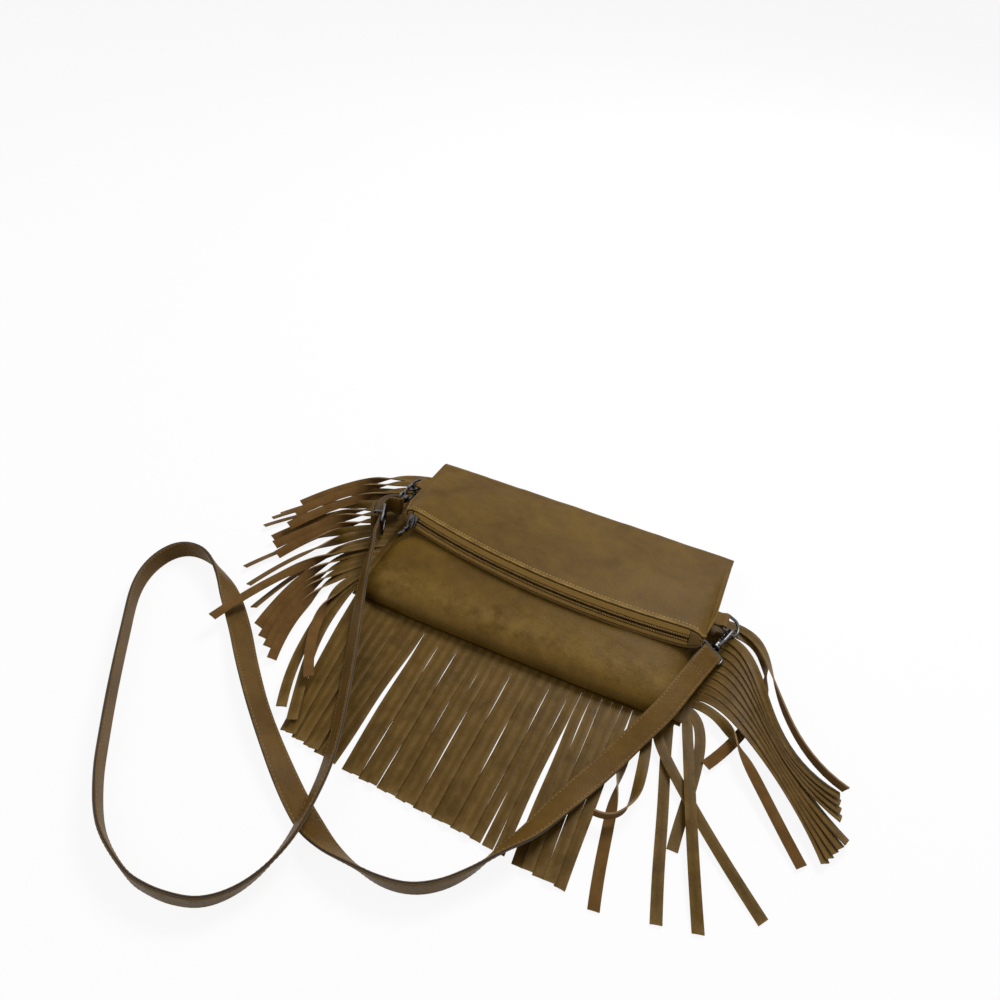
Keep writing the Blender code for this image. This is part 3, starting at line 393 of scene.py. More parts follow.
STRIP_EDGE = Finish(
    "fringe_cut_edge", "nap", ((0.3, 0.2, 0.1), (0.18, 0.11, 0.05)), 0.00008, 0.9, specular=0.03,
)
STRAP_FACE = Finish(
    "strap_face", "grain", ((0.125, 0.066, 0.0125), (0.085, 0.043, 0.0075), (0.24, 0.15, 0.05)), 0.0004,
    specular=0.08, wear="wear",
)
STRAP_SIDE = Finish(
    "strap_ply_edge", "grain", ((0.14, 0.085, 0.03), (0.085, 0.05, 0.016), (0.3, 0.2, 0.09)), 0.0001,
    specular=0.08,
)
STRAP_GROOVE = Finish("strap_dark_edge", "nap", ((0.03, 0.018, 0.014), (0.015, 0.009, 0.008)), 0.00005, 0.7)
THREAD = Finish("stitching_thread", "nap", ((0.62, 0.42, 0.16), (0.4, 0.26, 0.09)), 0.0001, 0.6, specular=0.1)
DARK_THREAD = Finish("strap_thread", "nap", ((0.3, 0.19, 0.07), (0.16, 0.1, 0.035)), 0.0001, 0.6)
TAPE = Finish(
    "zip_tape_weave", "weave", ((0.42, 0.25, 0.07), (0.23, 0.13, 0.033)), 0.0002, 0.75, specular=0.05,
)
COIL = Finish("zip_coil_nylon", "nap", ((0.42, 0.26, 0.08), (0.28, 0.17, 0.05)), 0.00004, 0.4, specular=0.2)
# The coil's core is painted dark: painted shade that shows in the gaps between the turns.
COIL_CORE_SHADE = Finish(
    "zip_coil_core", "nap", ((0.1, 0.058, 0.018), (0.055, 0.032, 0.01)), 0.00004, 0.6, specular=0.1,
)
GUNMETAL = Finish(
    "dark_plated_metal", "scuffs", ((0.09, 0.088, 0.09), (0.32, 0.31, 0.3)), 0.00002, metallic=1.0,
)


POUCH_LEATHER = (POUCH_FACE, POUCH_BACK, POUCH_EDGE)
STRIP_LEATHER = (STRIP_FACE, STRIP_BACK, STRIP_EDGE)
STRAP_LEATHER = (STRAP_FACE, STRAP_SIDE, STRAP_GROOVE)


# Pieces


def mesh_from(name: str, bm: bmesh.types.BMesh) -> bpy.types.Mesh:
    """Make a bmesh a mesh of that name, and free it."""
    mesh = bpy.data.meshes.new(name)
    bm.to_mesh(mesh)
    bm.free()
    return mesh


def stand(name: str, data: bpy.types.ID) -> bpy.types.Object:
    """Put an object with that data in the scene."""
    made = bpy.data.objects.new(name, data)
    bpy.context.scene.collection.objects.link(made)
    return made


def piece_from(
    name: str, bm: bmesh.types.BMesh, finishes: Sequence[Finish], body: str,
    nodes: Iterable[str] = (), sharp: float = 50.0,
) -> bpy.types.Object:
    """Make a bmesh a finished piece of the bag, moved by SEAM.

    Args:
        name: The piece's name.
        bm: Its mesh, which is freed.
        finishes: Its materials in slot order.
        body: The body that it rides on.
        nodes: The nodes that it stands for.
        sharp: Past this angle in degrees an edge stays sharp.

    Returns:
        The piece.
    """
    bmesh.ops.translate(bm, verts=bm.verts, vec=SEAM)
    mesh = mesh_from(name, bm)
    for finish in finishes:
        mesh.materials.append(finish.build())
    mesh.shade_smooth()
    mesh.set_sharp_from_angle(angle=math.radians(sharp))
    piece = stand(name, mesh)
    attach(piece, body)
    if nodes:
        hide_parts(*nodes)
    log.info("%s: %d faces on %s", name, len(mesh.polygons), body)
    return piece


def thicken(piece: bpy.types.Object, thickness: float, rounding: float, layered: bool = True) -> None:
    """Give a sheet its thickness, a back and a cut edge, and round its corners slightly.

    Args:
        piece: The sheet, whose face is its front.
        thickness: Its whole thickness.
        rounding: The radius at its cut edges.
        layered: Whether back and edge have finishes of their own.
    """
    solid = piece.modifiers.new("thickness", "SOLIDIFY")
    solid.thickness = thickness
    solid.offset = 0.0
    solid.use_even_offset = True
    if layered:
        solid.material_offset = Layer.BACK.value
        solid.material_offset_rim = Layer.EDGE.value
    if rounding > 0:
        bevel = piece.modifiers.new("rounding", "BEVEL")
        bevel.width = rounding
        bevel.segments = 2
        bevel.limit_method = "ANGLE"
        bevel.angle_limit = math.radians(60)
    graph = bpy.context.evaluated_depsgraph_get()
    mesh = bpy.data.meshes.new_from_object(piece.evaluated_get(graph))
    piece.modifiers.clear()
    piece.data = mesh
    mesh.shade_smooth()
    mesh.set_sharp_from_angle(angle=math.radians(50))


def add_grid(
    bm: bmesh.types.BMesh, columns: int, rows: int, place: Callable[[float, float], Vector],
    chart: Callable[[float, float], tuple[float, float]], wear: Callable[[float, float], float] | None = None,
) -> None:
    """Add a grid of faces shaped by a function of its two shares.

    Args:
        bm: The mesh that it goes into.
        columns: Faces across.
        rows: Faces along.
        place: The point at a share across and a share along.
        chart: The map coordinates there, in metres.
        wear: How worn the surface is there, from 0 to 1; on the pouch's belly, how strong its painted
            highlight is.
    """
    charted = bm.loops.layers.uv.get("metres") or bm.loops.layers.uv.new("metres")
    worn = bm.verts.layers.float.get("wear") or bm.verts.layers.float.new("wear")
    verts = bmesh.ops.create_grid(bm, x_segments=columns, y_segments=rows, size=0.5)["verts"]
    shares = {}
    for vert in verts:
        across = round((vert.co.x + 0.5) * columns) / columns
        along = round((vert.co.y + 0.5) * rows) / rows
        shares[vert] = (across, along)
    for face in {face for vert in verts for face in vert.link_faces}:
        for loop in face.loops:
            loop[charted].uv = chart(*shares[loop.vert])
    for vert, (across, along) in shares.items():
        vert.co = place(across, along)
        vert[worn] = wear(across, along) if wear else 0.0


def along_line(line: Sequence[Vector]) -> Callable[[float], Vector]:
    """A function that gives the point at a share of a line's length.

    Args:
        line: The line's points.

    Returns:
        The function.
    """
    places = [0.0]
    for here, there in zip(line, line[1:]):
        places.append(places[-1] + (there - here).length)

    def at(share: float) -> Vector:
        """The point at a share of the line's length."""
        wanted = share * places[-1]
        index = 0
        while index < len(line) - 2 and places[index + 1] < wanted:
            index += 1
        span = max(places[index + 1] - places[index], 1e-9)
        return line[index].lerp(line[index + 1], min((wanted - places[index]) / span, 1.0))

    return at


def smooth_curve(points: Sequence[Vector], steps: int) -> list[Vector]:
    """Points on a Catmull-Rom curve through the given points.

    Args:
        points: The points to pass.
        steps: Steps between each two.

    Returns:
        The curve's points.
    """
    ends = [2 * points[0] - points[1], *points, 2 * points[-1] - points[-2]]
    curve = []
    for a, b, c, d in zip(ends, ends[1:], ends[2:], ends[3:]):
        for step in range(steps):
            t = step / steps
            squared = (2 * a - 5 * b + 4 * c - d) * t * t
            cubed = (3 * b - a - 3 * c + d) * t ** 3
            curve.append(0.5 * (2 * b + (c - a) * t + squared + cubed))
    return [*curve, points[-1]]


def add_stitch(bm: bmesh.types.BMesh, centre: Vector, along: Vector, out: Vector, size: Vector) -> None:
    """Add one stitch, a small flattened grain of thread.

    Args:
        bm: The mesh that it goes into.
        centre: Its middle.
        along: The way that it runs.
        out: The way out of the leather.
        size: Its length, width and height.
    """
    side = out.cross(along).normalized()
    turn = Matrix((along.normalized(), side, along.normalized().cross(side))).transposed().to_4x4()
    scale = Matrix.Diagonal((*(size / 2), 1.0))
    place = Matrix.Translation(centre) @ turn @ scale
    bmesh.ops.create_icosphere(bm, subdivisions=1, radius=1.0, matrix=place)


def local_frame(origin: Vector, x_aim: Vector, y_aim: Vector) -> Matrix:
    """A frame at an origin with its X along one aim and its Y as near the other as it can be.

    Args:
        origin: The frame's origin.
        x_aim: The way of its X axis.
        y_aim: The rough way of its Y axis.

    Returns:
        The frame's matrix.
    """
    x_axis = x_aim.normalized()
    z_axis = x_axis.cross(y_aim).normalized()
    return Matrix.Translation(origin) @ Matrix((x_axis, z_axis.cross(x_axis), z_axis)).transposed().to_4x4()


@dataclass(frozen=True)
class ZipArc:
    """The circular arc that the zip follows, and the slope of the lip's face."""

    left: Vector = field(default_factory=lambda: Vector((-139, 84, 24)) * MM)
    right: Vector = field(default_factory=lambda: Vector((141, 64, 24)) * MM)
    sagitta: float = 18 * MM
    rise: float = math.radians(13)
    slope: float = math.radians(50)

    @property
    def chord(self) -> Vector:
        """From the left end to the right one."""
        return self.right - self.left

    @property
    def radius(self) -> float:
        """The arc's radius."""
        return (self.chord.length ** 2 / 4 + self.sagitta ** 2) / (2 * self.sagitta)

    @property
    def half(self) -> float:
        """Half the angle that the arc spans."""
        return math.asin(self.chord.length / 2 / self.radius)

    @property
    def bulge(self) -> Vector:
        """The way that the arc bulges, towards the bag's bottom."""
        along = self.chord.normalized()
        level = Vector((along.y, -along.x, 0.0)).normalized()
        return level * math.cos(self.rise) + UP * math.sin(self.rise)

    def point(self, angle: float) -> Vector:
        """The point at an angle from the arc's middle."""
        centre = (self.left + self.right) / 2 - self.bulge * (self.radius - self.sagitta)
        along = self.chord.normalized()
        return centre + (along * math.sin(angle) + self.bulge * math.cos(angle)) * self.radius

    def axes(self, angle: float) -> Ring:
        """Along the zip, down its face and out of it, at an angle."""
        along = self.chord.normalized()
        tilt = self.slope + self.rise
        tangent = along * math.cos(angle) - self.bulge * math.sin(angle)
        radial = along * math.sin(angle) + self.bulge * math.cos(angle)
        down = radial * math.cos(tilt) - self.bulge.cross(along) * math.sin(tilt)
        return tangent, down, down.cross(tangent)

    def angle_at(self, x: float) -> float:
        """The angle of the arc at a place along the pouch's width."""
        angle = 0.0
        for _ in range(8):
            angle += (x - self.point(angle).x) / (self.radius * self.chord.normalized().x)
        return angle


@dataclass
class Pouch:
    """The two panels of the pouch and the stitching behind the flap's lip."""

    arc: ZipArc
    width: float = 285 * MM
    height: float = 174 * MM
    thickness: float = 1.4 * MM
    margin: float = 4 * MM
    fold_radius: float = 9 * MM
    gap: float = 0.3 * MM
    bulge: float = 15.5 * MM
    overhang: float = 4 * MM
    crown: float = 1.5 * MM
    seam_height: float = 3.9 * MM
    upper_edge: float = 8.5 * MM
    lower_edge: float = 7.5 * MM
    recess: dict[Side, float] = field(default_factory=lambda: {Side.LEFT: 14 * MM, Side.RIGHT: 28 * MM})
    corner: float = 5.5 * MM
    columns: int = 150
    rows: int = 150
    rest_steps: int = 8
    fold_steps: int = 16
    flap_steps: int = 24
    inner_steps: int = 10
    lip_steps: int = 12
    crease: float = 0.45 * MM
    crease_fade: float = 12 * MM
    rounding: float = 0.3 * MM
    stitch_pitch: float = 3.0 * MM
    stitch_inset: float = 3.6 * MM
    stitch_size: Vector = field(default_factory=lambda: Vector((2.1, 0.8, 0.7)) * MM)

    @property
    def half(self) -> float:
        """Half the pouch's width."""
        return self.width / 2

    @property
    def fold(self) -> float:
        """Where the fold begins."""
        return self.height - self.fold_radius

    def fullness(self, x: float) -> float:
        """How far the pouch is filled at a place across its width."""
        return math.sqrt(1.0 - min(abs(x) / (self.half - self.margin), 1.0) ** 6)

    def openness(self, x: float) -> float:
        """How far the lip stands open at a place across its width."""
        return 0.1 + 0.9 * math.sqrt(1.0 - min(abs(x) / (self.half - self.margin), 1.0) ** 20)

    def lip(self, x: float, offset: float, share: float) -> Vector:
        """A point of the zip opening's edge.

        Args:
            x: The place across the width.
            offset: How far down the lip's face.
            share: How far the lip stands open there.

        Returns:
            The point.
        """
        angle = self.arc.angle_at(x)
        point = self.arc.point(angle) + self.arc.axes(angle)[1] * offset * share
        back = self.recess[Side.RIGHT if x > 0 else Side.LEFT]
        near = max(abs(x) - self.half + self.corner, 0.0) / self.corner
        return Vector((x, point.y + back * near ** 1.5, point.z))

    def back_line(self, x: float) -> list[Vector]:
        """The back panel's middle line: the resting face, the fold and the flap's top."""
        half = self.thickness / 2
        reach = self.fold_radius - half
        line = [Vector((x, self.fold * step / self.rest_steps, half)) for step in range(self.rest_steps + 1)]
        for step in range(1, self.fold_steps + 1):
            turn = math.pi * step / self.fold_steps
            y = self.fold + reach * math.sin(turn)
            line.append(Vector((x, y, self.fold_radius - reach * math.cos(turn))))
        start = line[-1]
        end = self.lip(x, -self.upper_edge, self.openness(x))
        end.z = max(end.z, self.lip(x, 0.0, 0.0).z + (self.thickness + self.gap) / 2)
        for step in range(1, self.flap_steps + 1):
            share = step / self.flap_steps
            point = start.lerp(end, share)
            point.z += self.crown * self.fullness(x) * math.sin(math.pi * share)
            line.append(point)
        return line

    def front_line(self, x: float) -> list[Vector]:
        """The front panel's middle line: the bulge, the inner fold and the flap's lower side."""
        fill = self.fullness(x)
        flat = [self.fold * share for share in (0.006, 0.036, 0.073, 0.145, 0.303, 0.576, 0.818)]
        forward = [flat[0], -self.overhang, flat[0], 0.75 * flat[3], *flat[4:]]
        rise = (0, 0.2, 0.62, 0.9, 1.0, 0.78, 0.52)
        points = [
            Vector((x, a + (b - a) * fill, self.seam_height + self.bulge * c * fill))
            for a, b, c in zip(flat, forward, rise)
        ]
        points.append(Vector((x, self.fold, self.seam_height + self.bulge * 0.38 * fill)))
        line = smooth_curve(points, 6)
        low = line[-1].z
        high = 2 * self.fold_radius - self.thickness * 1.5 - self.gap
        reach = (high - low) / 2
        for step in range(1, self.inner_steps + 1):
            turn = math.pi * step / self.inner_steps
            line.append(Vector((x, self.fold + reach * math.sin(turn), low + reach - reach * math.cos(turn))))
        start = line[-1]
        end = self.lip(x, self.lower_edge, self.openness(x))
        end.z = min(end.z, self.lip(x, 0.0, 0.0).z - (self.thickness + self.gap) / 2)
        return line + [start.lerp(end, step / self.lip_steps) for step in range(1, self.lip_steps + 1)]

    def build(self) -> None:
        """Make both panels and the stitching."""
        self.panel("back_panel_leather", "back_panel", self.back_line, -1.0, 0.47, 0.9)
        self.panel("front_panel_leather", "front_panel", self.front_line, 1.0, 0.03, 0.3)
        self.stitching()

    def panel(
        self, name: str, node: str, line_at: Callable[[float], list[Vector]], way: float,
        first: float, last: float,
    ) -> None:
        """Make one panel with soft creases between two shares of its length.

        Args:
            name: The piece's name.
            node: The node that it stands for.
            line_at: Its middle line at a place across the width.
            way: 1 if its face is on the line's left, -1 if it is on the right.
            first: The share of its length where the creases begin.
            last: The share where they end.
        """
        shares = [2 * column / self.columns - 1 for column in range(self.columns + 1)]
        stations = [self.half * math.sin(math.pi / 2 * share) for share in shares]
        lines = {x: along_line(line_at(x)) for x in stations}

        def place(across: float, along: float) -> Vector:
            """The creased surface's point."""
            x = stations[round((across if way > 0 else 1.0 - across) * self.columns)]
            point = lines[x](along)
            near = min(max((along - first) / 0.06, 0.0), max((last - along) / 0.06, 0.0), 1.0)
            inside = min((self.half - abs(x)) / self.crease_fade, 1.0)
            if near <= 0 or inside <= 0:
                return point
            broad = noise.noise(Vector((x * 26, point.y * 40, 3.0 * way)))
            ripple = noise.noise(Vector((x * 70 + point.y * 60, point.y * 95 - x * 30, 9.0)))
            rise = self.crease * (1.0 + 1.2 * broad + 0.8 * ripple) * near * inside
            return point + Vector((0.0, 0.0, rise))

        def wear(across: float, along: float) -> float:
            """Light rubbing at the lip's edge and the fold, and a painted highlight on the belly's bulge."""
            lip = max((along - 0.985) / 0.015, 0.0)
            fold = max(1.0 - abs(along - 0.52) / 0.04, 0.0) * 0.35 if way < 0 else 0.0
            # Painted highlight: the rounded top of the bulge by the seam is lightened as if lit.
            belly = max(1.0 - abs(along - 0.1) / 0.07, 0.0) * 0.35 if way > 0 else 0.0
            return min(max(lip, fold, belly), 1.0)

        def chart(across: float, along: float) -> tuple[float, float]:
            """The panel's map in metres."""
            return across * self.width, along * 2 * self.height

        bm = bmesh.new()
        add_grid(bm, self.columns, self.rows, place, chart, wear)
        piece = piece_from(name, bm, POUCH_LEATHER, "bag", [node])
        thicken(piece, self.thickness, self.rounding)

    def stitching(self) -> None:
        """Sew the row of stitches behind the flap's lip."""
        bm = bmesh.new()
        count = int((self.width - 4 * self.margin) / self.stitch_pitch)
        for index in range(count):
            x = (index + 0.5 - count / 2) * self.stitch_pitch
            here, ahead = (self.behind_lip(x + step) for step in (-0.1 * MM, 0.1 * MM))
            along = ahead[0] - here[0]
            add_stitch(bm, here[0], along, here[1], self.stitch_size)
        piece_from("flap_stitches", bm, (THREAD,), "bag")

    def behind_lip(self, x: float) -> tuple[Vector, Vector]:
        """The point of the flap's top where the stitching runs at x, and the way out of it."""
        line = self.back_line(x)
        end = line[-1]
        inward = (line[-3] - end).normalized()
        out = Vector((1.0, 0.0, 0.0)).cross(-inward).normalized()
        out = out if out.z > 0 else -out
        return end + inward * self.stitch_inset + out * (self.thickness / 2 + 0.1 * MM), out


@dataclass
class ZipChain:
    """The zip: its tapes, the two rows of coil, the end tabs, and the slider with its pull."""

    pouch: Pouch
    left_margin: float = 9 * MM
    right_margin: float = 13.3 * MM
    tape: float = 0.6 * MM
    groove: float = 1.1 * MM
    coil_width: float = 2.05 * MM
    coil_top: float = 1.3 * MM
    coil_bottom: float = -0.9 * MM
    core_depth: float = 0.55 * MM
    core_share: float = 0.42
    turn_wire: float = 0.47 * MM
    pitch: float = 1.3 * MM
    lean: float = math.radians(14)
    slider_rest: float = 13 * MM
    slider_length: float = 9 * MM
    tab_inset: float = 3.2 * MM
    tab_rise: float = 1.1 * MM
    tab_leather: float = 0.7 * MM
    tab_notch: float = 1.8 * MM
    tab_play: float = 0.15 * MM

    @property
    def arc(self) -> ZipArc:
        """The arc that the zip follows."""
        return self.pouch.arc

    @property
    def length(self) -> float:
        """The arc's length."""
        return 2 * self.arc.half * self.arc.radius

    @property
    def outer(self) -> float:
        """From the zip's middle to the outside of a coil."""
        return self.groove / 2 + self.coil_width

    def angle(self, distance: float) -> float:
        """The arc's angle at a distance from its left end."""
        return distance / self.arc.radius - self.arc.half

    def build(self) -> None:
        """Make every piece of the zip."""
        edge = self.pouch.thickness / 2 + self.pouch.gap
        upper = (edge, -self.pouch.upper_edge)
        lower = (-edge / math.sin(self.arc.slope) - self.tape, self.pouch.lower_edge)
        gap = self.outer + self.pouch.gap
        ends = (self.left_margin, self.length - self.right_margin)
        self.band("zip_tape_upper_weave", "zip_tape_upper", upper, (-gap, 0.0), ends)
        self.band("zip_tape_lower_weave", "zip_tape_lower", (gap, 0.0), lower, ends)
        self.coil("zip_coil_upper_teeth", "zip_coil_upper", -1.0, 0.0)
        self.coil("zip_coil_lower_teeth", "zip_coil_lower", 1.0, 0.5)
        start = self.slider_rest - self.slider_length / 2 - self.pouch.gap
        self.end_tab("zip_end_tab_left_leather", "zip_end_tab_left", upper, lower, (self.tab_inset, start))
        right = (self.length - self.right_margin + self.pouch.gap, self.length - self.tab_inset)
        self.end_tab("zip_end_tab_right_leather", "zip_end_tab_right", upper, lower, right)

    def spot(self, distance: float, across: float, out: float) -> Vector:
        """A point beside the zip's arc.

        Args:
            distance: How far along from its left end.
            across: How far down its face.
            out: How far out of its face.

        Returns:
            The point.
        """
        angle = self.angle(distance)
        _, down, outward = self.arc.axes(angle)
        return self.arc.point(angle) + down * across + outward * out

    def band(
        self, name: str, node: str, low: tuple[float, float], high: tuple[float, float],
        ends: tuple[float, float],
    ) -> None:
        """Make one woven tape.

        Args:
            name: The piece's name.
            node: The node that it stands for.
            low: Its upper edge, as a plain length down the face and one that closes with the lip.
            high: Its lower edge, given alike.
            ends: Where it begins and ends along the zip.
        """

        def place(across: float, along: float) -> Vector:
            """The tape's point."""
            distance = ends[0] + (ends[1] - ends[0]) * along
            share = self.pouch.openness(self.arc.point(self.angle(distance)).x)
            first = low[0] + low[1] * share
            last = high[0] + high[1] * share
            return self.spot(distance, first + (last - first) * across, 0.0)

        bm = bmesh.new()
        span = ends[1] - ends[0]
        add_grid(bm, 4, 160, place, lambda across, along: (across * 6 * MM, along * span))
        bmesh.ops.reverse_faces(bm, faces=bm.faces)
        piece = piece_from(name, bm, (TAPE,), "bag", [node])
        thicken(piece, self.tape, 0.1 * MM, layered=False)

    def coil(self, name: str, node: str, way: float, phase: float) -> None:
        """Make one row of the coil: a core, painted dark as the shade between the turns, with a row of bent
        nylon turns over it.

        Args:
            name: The piece's name.
            node: The node that it stands for.
            way: 1 for the lower row, -1 for the upper one.
            phase: How far the turns are shifted, as a share of their pitch.
        """
        middle = way * (self.groove / 2 + self.coil_width / 2)
        first = self.left_margin
        last = self.length - self.right_margin
        bm = bmesh.new()
        low = self.coil_bottom
        high = self.coil_top - self.core_depth
        span = self.coil_width * self.core_share

        def core(across: float, along: float) -> Vector:
            """A point of the core's round surface."""
            turn = 2 * math.pi * across
            out = (low + high) / 2 + (high - low) / 2 * math.sin(turn)
            return self.spot(first + (last - first) * along, middle + span * math.cos(turn), out)

        add_grid(bm, 8, 90, core, lambda across, along: (across, along))
        bmesh.ops.remove_doubles(bm, verts=bm.verts, dist=0.001 * MM)
        bmesh.ops.holes_fill(bm, edges=bm.edges, sides=8)
        core_faces = set(bm.faces)
        for index in range(int((last - first) / self.pitch)):
            distance = first + (index + 0.5 + phase) * self.pitch
            if distance > last - self.pitch / 2:
                continue
            tangent, down, out = self.arc.axes(self.angle(distance))
            run = Matrix.Rotation(self.lean * way, 3, out) @ down
            centre = self.spot(distance, middle, (self.coil_top + low) / 2)
            frame_at = local_frame(centre, run, tangent)
            size = Matrix.Diagonal((self.coil_width / 2, self.turn_wire, (self.coil_top - low) / 2, 1.0))
            bmesh.ops.create_uvsphere(bm, u_segments=8, v_segments=5, radius=1.0, matrix=frame_at @ size)
        bmesh.ops.recalc_face_normals(bm, faces=bm.faces)
        for face in bm.faces:
            # The core takes the dark finish, painted shade between the turns.
            face.material_index = 1 if face in core_faces else 0
        piece_from(name, bm, (COIL, COIL_CORE_SHADE), "bag", [node])

    def end_tab(
        self, name: str, node: str, low: tuple[float, float], high: tuple[float, float],
        ends: tuple[float, float],
    ) -> None:
        """Make one leather stop over an end of the zip, pillowed, and notched towards the bag's side.

        Args:
            name: The piece's name.
            node: The node that it stands for.
            low: Its upper edge, as a plain length down the face and one that closes with the lip.
            high: Its lower edge, given alike.
            ends: Where it begins and ends along the zip.
        """
        outward = 1.0 if ends[0] > self.length / 2 else -1.0

        def place(across: float, along: float) -> Vector:
            """The tab's point."""
            share_out = along if outward > 0 else 1.0 - along
            notch = self.tab_notch * share_out ** 4 * max(1.0 - abs(across - 0.5) / 0.22, 0.0)
            distance = ends[0] + (ends[1] - ends[0]) * along - notch * outward
            share = self.pouch.openness(self.arc.point(self.angle(distance)).x)
            first = low[0] + low[1] * share + self.tab_play
            last = high[0] + high[1] * share - self.tab_play
            pillow = math.sin(math.pi * across) ** 0.5 * math.sin(math.pi * (0.12 + 0.76 * along)) ** 0.5
            return self.spot(distance, first + (last - first) * across, self.tab_rise * (0.25 + 0.5 * pillow))

        bm = bmesh.new()
        add_grid(bm, 16, 12, place, lambda across, along: (across * 12 * MM, along * 6 * MM))
        bmesh.ops.reverse_faces(bm, faces=bm.faces)
        piece = piece_from(name, bm, POUCH_LEATHER, "bag", [node])
        thicken(piece, self.tab_leather, self.tab_play)


@dataclass
class Fringe:
    """One cut fringe: an uncut header in a seam and its strips.

    A bundle gives a count of strips, how far they turn over in degrees, how much higher every other one lies,
    and the routes of the first and the last one, or one route for all. A route's points draw the strip on from
    its header, in millimetres, and the last one is its tip.
    """

    name: str
    node: str
    start: Vector
    along: Vector
    outward: Vector
    bundles: tuple[tuple, ...]
    seed: int
    thickness: float = 1.2 * MM
    insert: float = 4 * MM
    header: float = 3.5 * MM
    pitch: float = 7.9 * MM
    slit: float = 0.15 * MM
    turn_start: float = 0.2
    turn_share: float = 0.5
    floor: float = 0.15 * MM
    columns: int = 6
    rows: int = 28
    cupping: float = 0.45 * MM
    cup_shares: tuple[float, float] = (0.5, 1.2)
    waver_mm: tuple[float, float] = (0.15, 0.6)
    waves: tuple[float, float] = (0.7, 1.6)
    end_cut_mm: float = 0.3

    def strips(self) -> list[Strip]:
        """The route and turn of every strip, in order."""
        made: list[Strip] = []
        for count, turn, layer, *routes in self.bundles:
            for index in range(count):
                share = index / max(count - 1, 1)
                lift = Vector((0, 0, layer * (index % 2)))
                route = [
                    (Vector(first).lerp(Vector(last), share) + lift) * MM
                    for first, last in zip(routes[0], routes[-1])
                ]
                made.append((route, math.radians(turn)))
        return made

    @property
    def width(self) -> float:
        """A strip's width."""
        return self.pitch - self.slit

    @property
    def flat_length(self) -> float:
        """The mean length of the strips with the header."""
        lengths = []
        for index, (route, _) in enumerate(self.strips()):
            line = [self.drawn([self.root(index), *route], step / 12)[0] for step in range(13)]
            lengths.append(sum((b - a).length for a, b in zip(line, line[1:])))
        return self.insert + self.header + sum(lengths) / len(lengths)

    def root(self, index: int) -> Vector:
        """Where a strip leaves the header."""
        return self.start + self.along * (index + 0.5) * self.pitch + self.outward * self.header

    def drawn(self, points: list[Vector], share: float) -> tuple[Vector, Vector]:
        """The point and direction at a share of the way along the curve that some points draw."""
        while len(points) > 2:
            points = [here.lerp(there, share) for here, there in zip(points, points[1:])]
        return points[0].lerp(points[1], share), (points[1] - points[0]).normalized()

    def frame_at(self, root: Vector, route: list[Vector], turn: float, share: float) -> Ring:
        """A strip's centre, side and normal at a share of its length."""
        if share <= 0:
            return root, UP.cross(self.outward), UP
        centre, ahead = self.drawn([root, *route], share)
        level = UP.cross(ahead).normalized()
        part = min(max((share - self.turn_start) / self.turn_share, 0.0), 1.0)
        side = Matrix.Rotation(turn * part * part * (3 - 2 * part), 3, ahead) @ level
        normal = ahead.cross(side)
        lowest = self.floor + abs(side.z) * self.width / 2 + abs(normal.z) * self.thickness / 2
        return Vector((centre.x, centre.y, max(centre.z, lowest))), side, normal

    def build(self) -> None:
        """Make the fringe as one sheet of leather."""
        bm = bmesh.new()
        chance = random.Random(self.seed)
        strips = self.strips()
        length = len(strips) * self.pitch
        across_way = self.along if UP.cross(self.outward).dot(self.along) > 0 else -self.along
        middle = self.start + self.along * length / 2

        def header(across: float, along: float) -> Vector:
            """The header's point."""
            out = -self.insert + (self.insert + self.header) * along
            return middle + across_way * (0.5 - across) * length + self.outward * out

        add_grid(bm, len(strips) * 2, 2, header, lambda across, along: (across * length, along * 7.5 * MM))
        for index, (route, turn) in enumerate(strips):
            self.strip(bm, self.root(index), route, turn, chance)
        piece = piece_from(self.name, bm, STRIP_LEATHER, "bag", [self.node])
        thicken(piece, self.thickness, 0.0)
        flat = self.flat_length

    def strip(
        self, bm: bmesh.types.BMesh, root: Vector, route: list[Vector], turn: float, chance: random.Random,
    ) -> None:
        """Add one strip, with a slight cupping and waver of its own.

        Args:
            bm: The mesh that it goes into.
            root: Where it leaves the header.
            route: The points that draw it on from there.
            turn: How far it turns over.
            chance: The fringe's own chance.
        """
        waver = chance.uniform(*self.waver_mm) * MM * chance.choice((-1, 1))
        waves = chance.uniform(*self.waves)
        cup = self.cupping * chance.uniform(*self.cup_shares)
        end_cut = chance.uniform(-self.end_cut_mm, self.end_cut_mm) * MM
        length = (route[-1] - root).length

        def place(across: float, along: float) -> Vector:
            """The strip's point."""
            centre, side, normal = self.frame_at(root, route, turn, along)
            settled = min(along * 4, 1.0)
            offset = (0.5 - across) * self.width
            sway = waver * math.sin(math.pi * 2 * waves * along) * settled
            bow = cup * settled * (1.0 - (2 * across - 1) ** 2) * (1.0 if normal.z > -0.3 else -1.0)
            ahead = side.cross(normal) * end_cut * (2 * across - 1) * max(along * 26 - 25, 0.0)
            point = centre + side * (offset + sway) + normal * bow + ahead
            return Vector((point.x, point.y, max(point.z, self.thickness / 2 + 0.1 * MM)))

        def wear(across: float, along: float) -> float:
            """Light rubbing along the strip's edges and at its tip."""
            return max(abs(2 * across - 1) * 0.4, max(along - 0.94, 0.0) * 8)

        add_grid(
            bm, self.columns, self.rows, place,
            lambda across, along: (across * self.width, along * length), wear,
        )


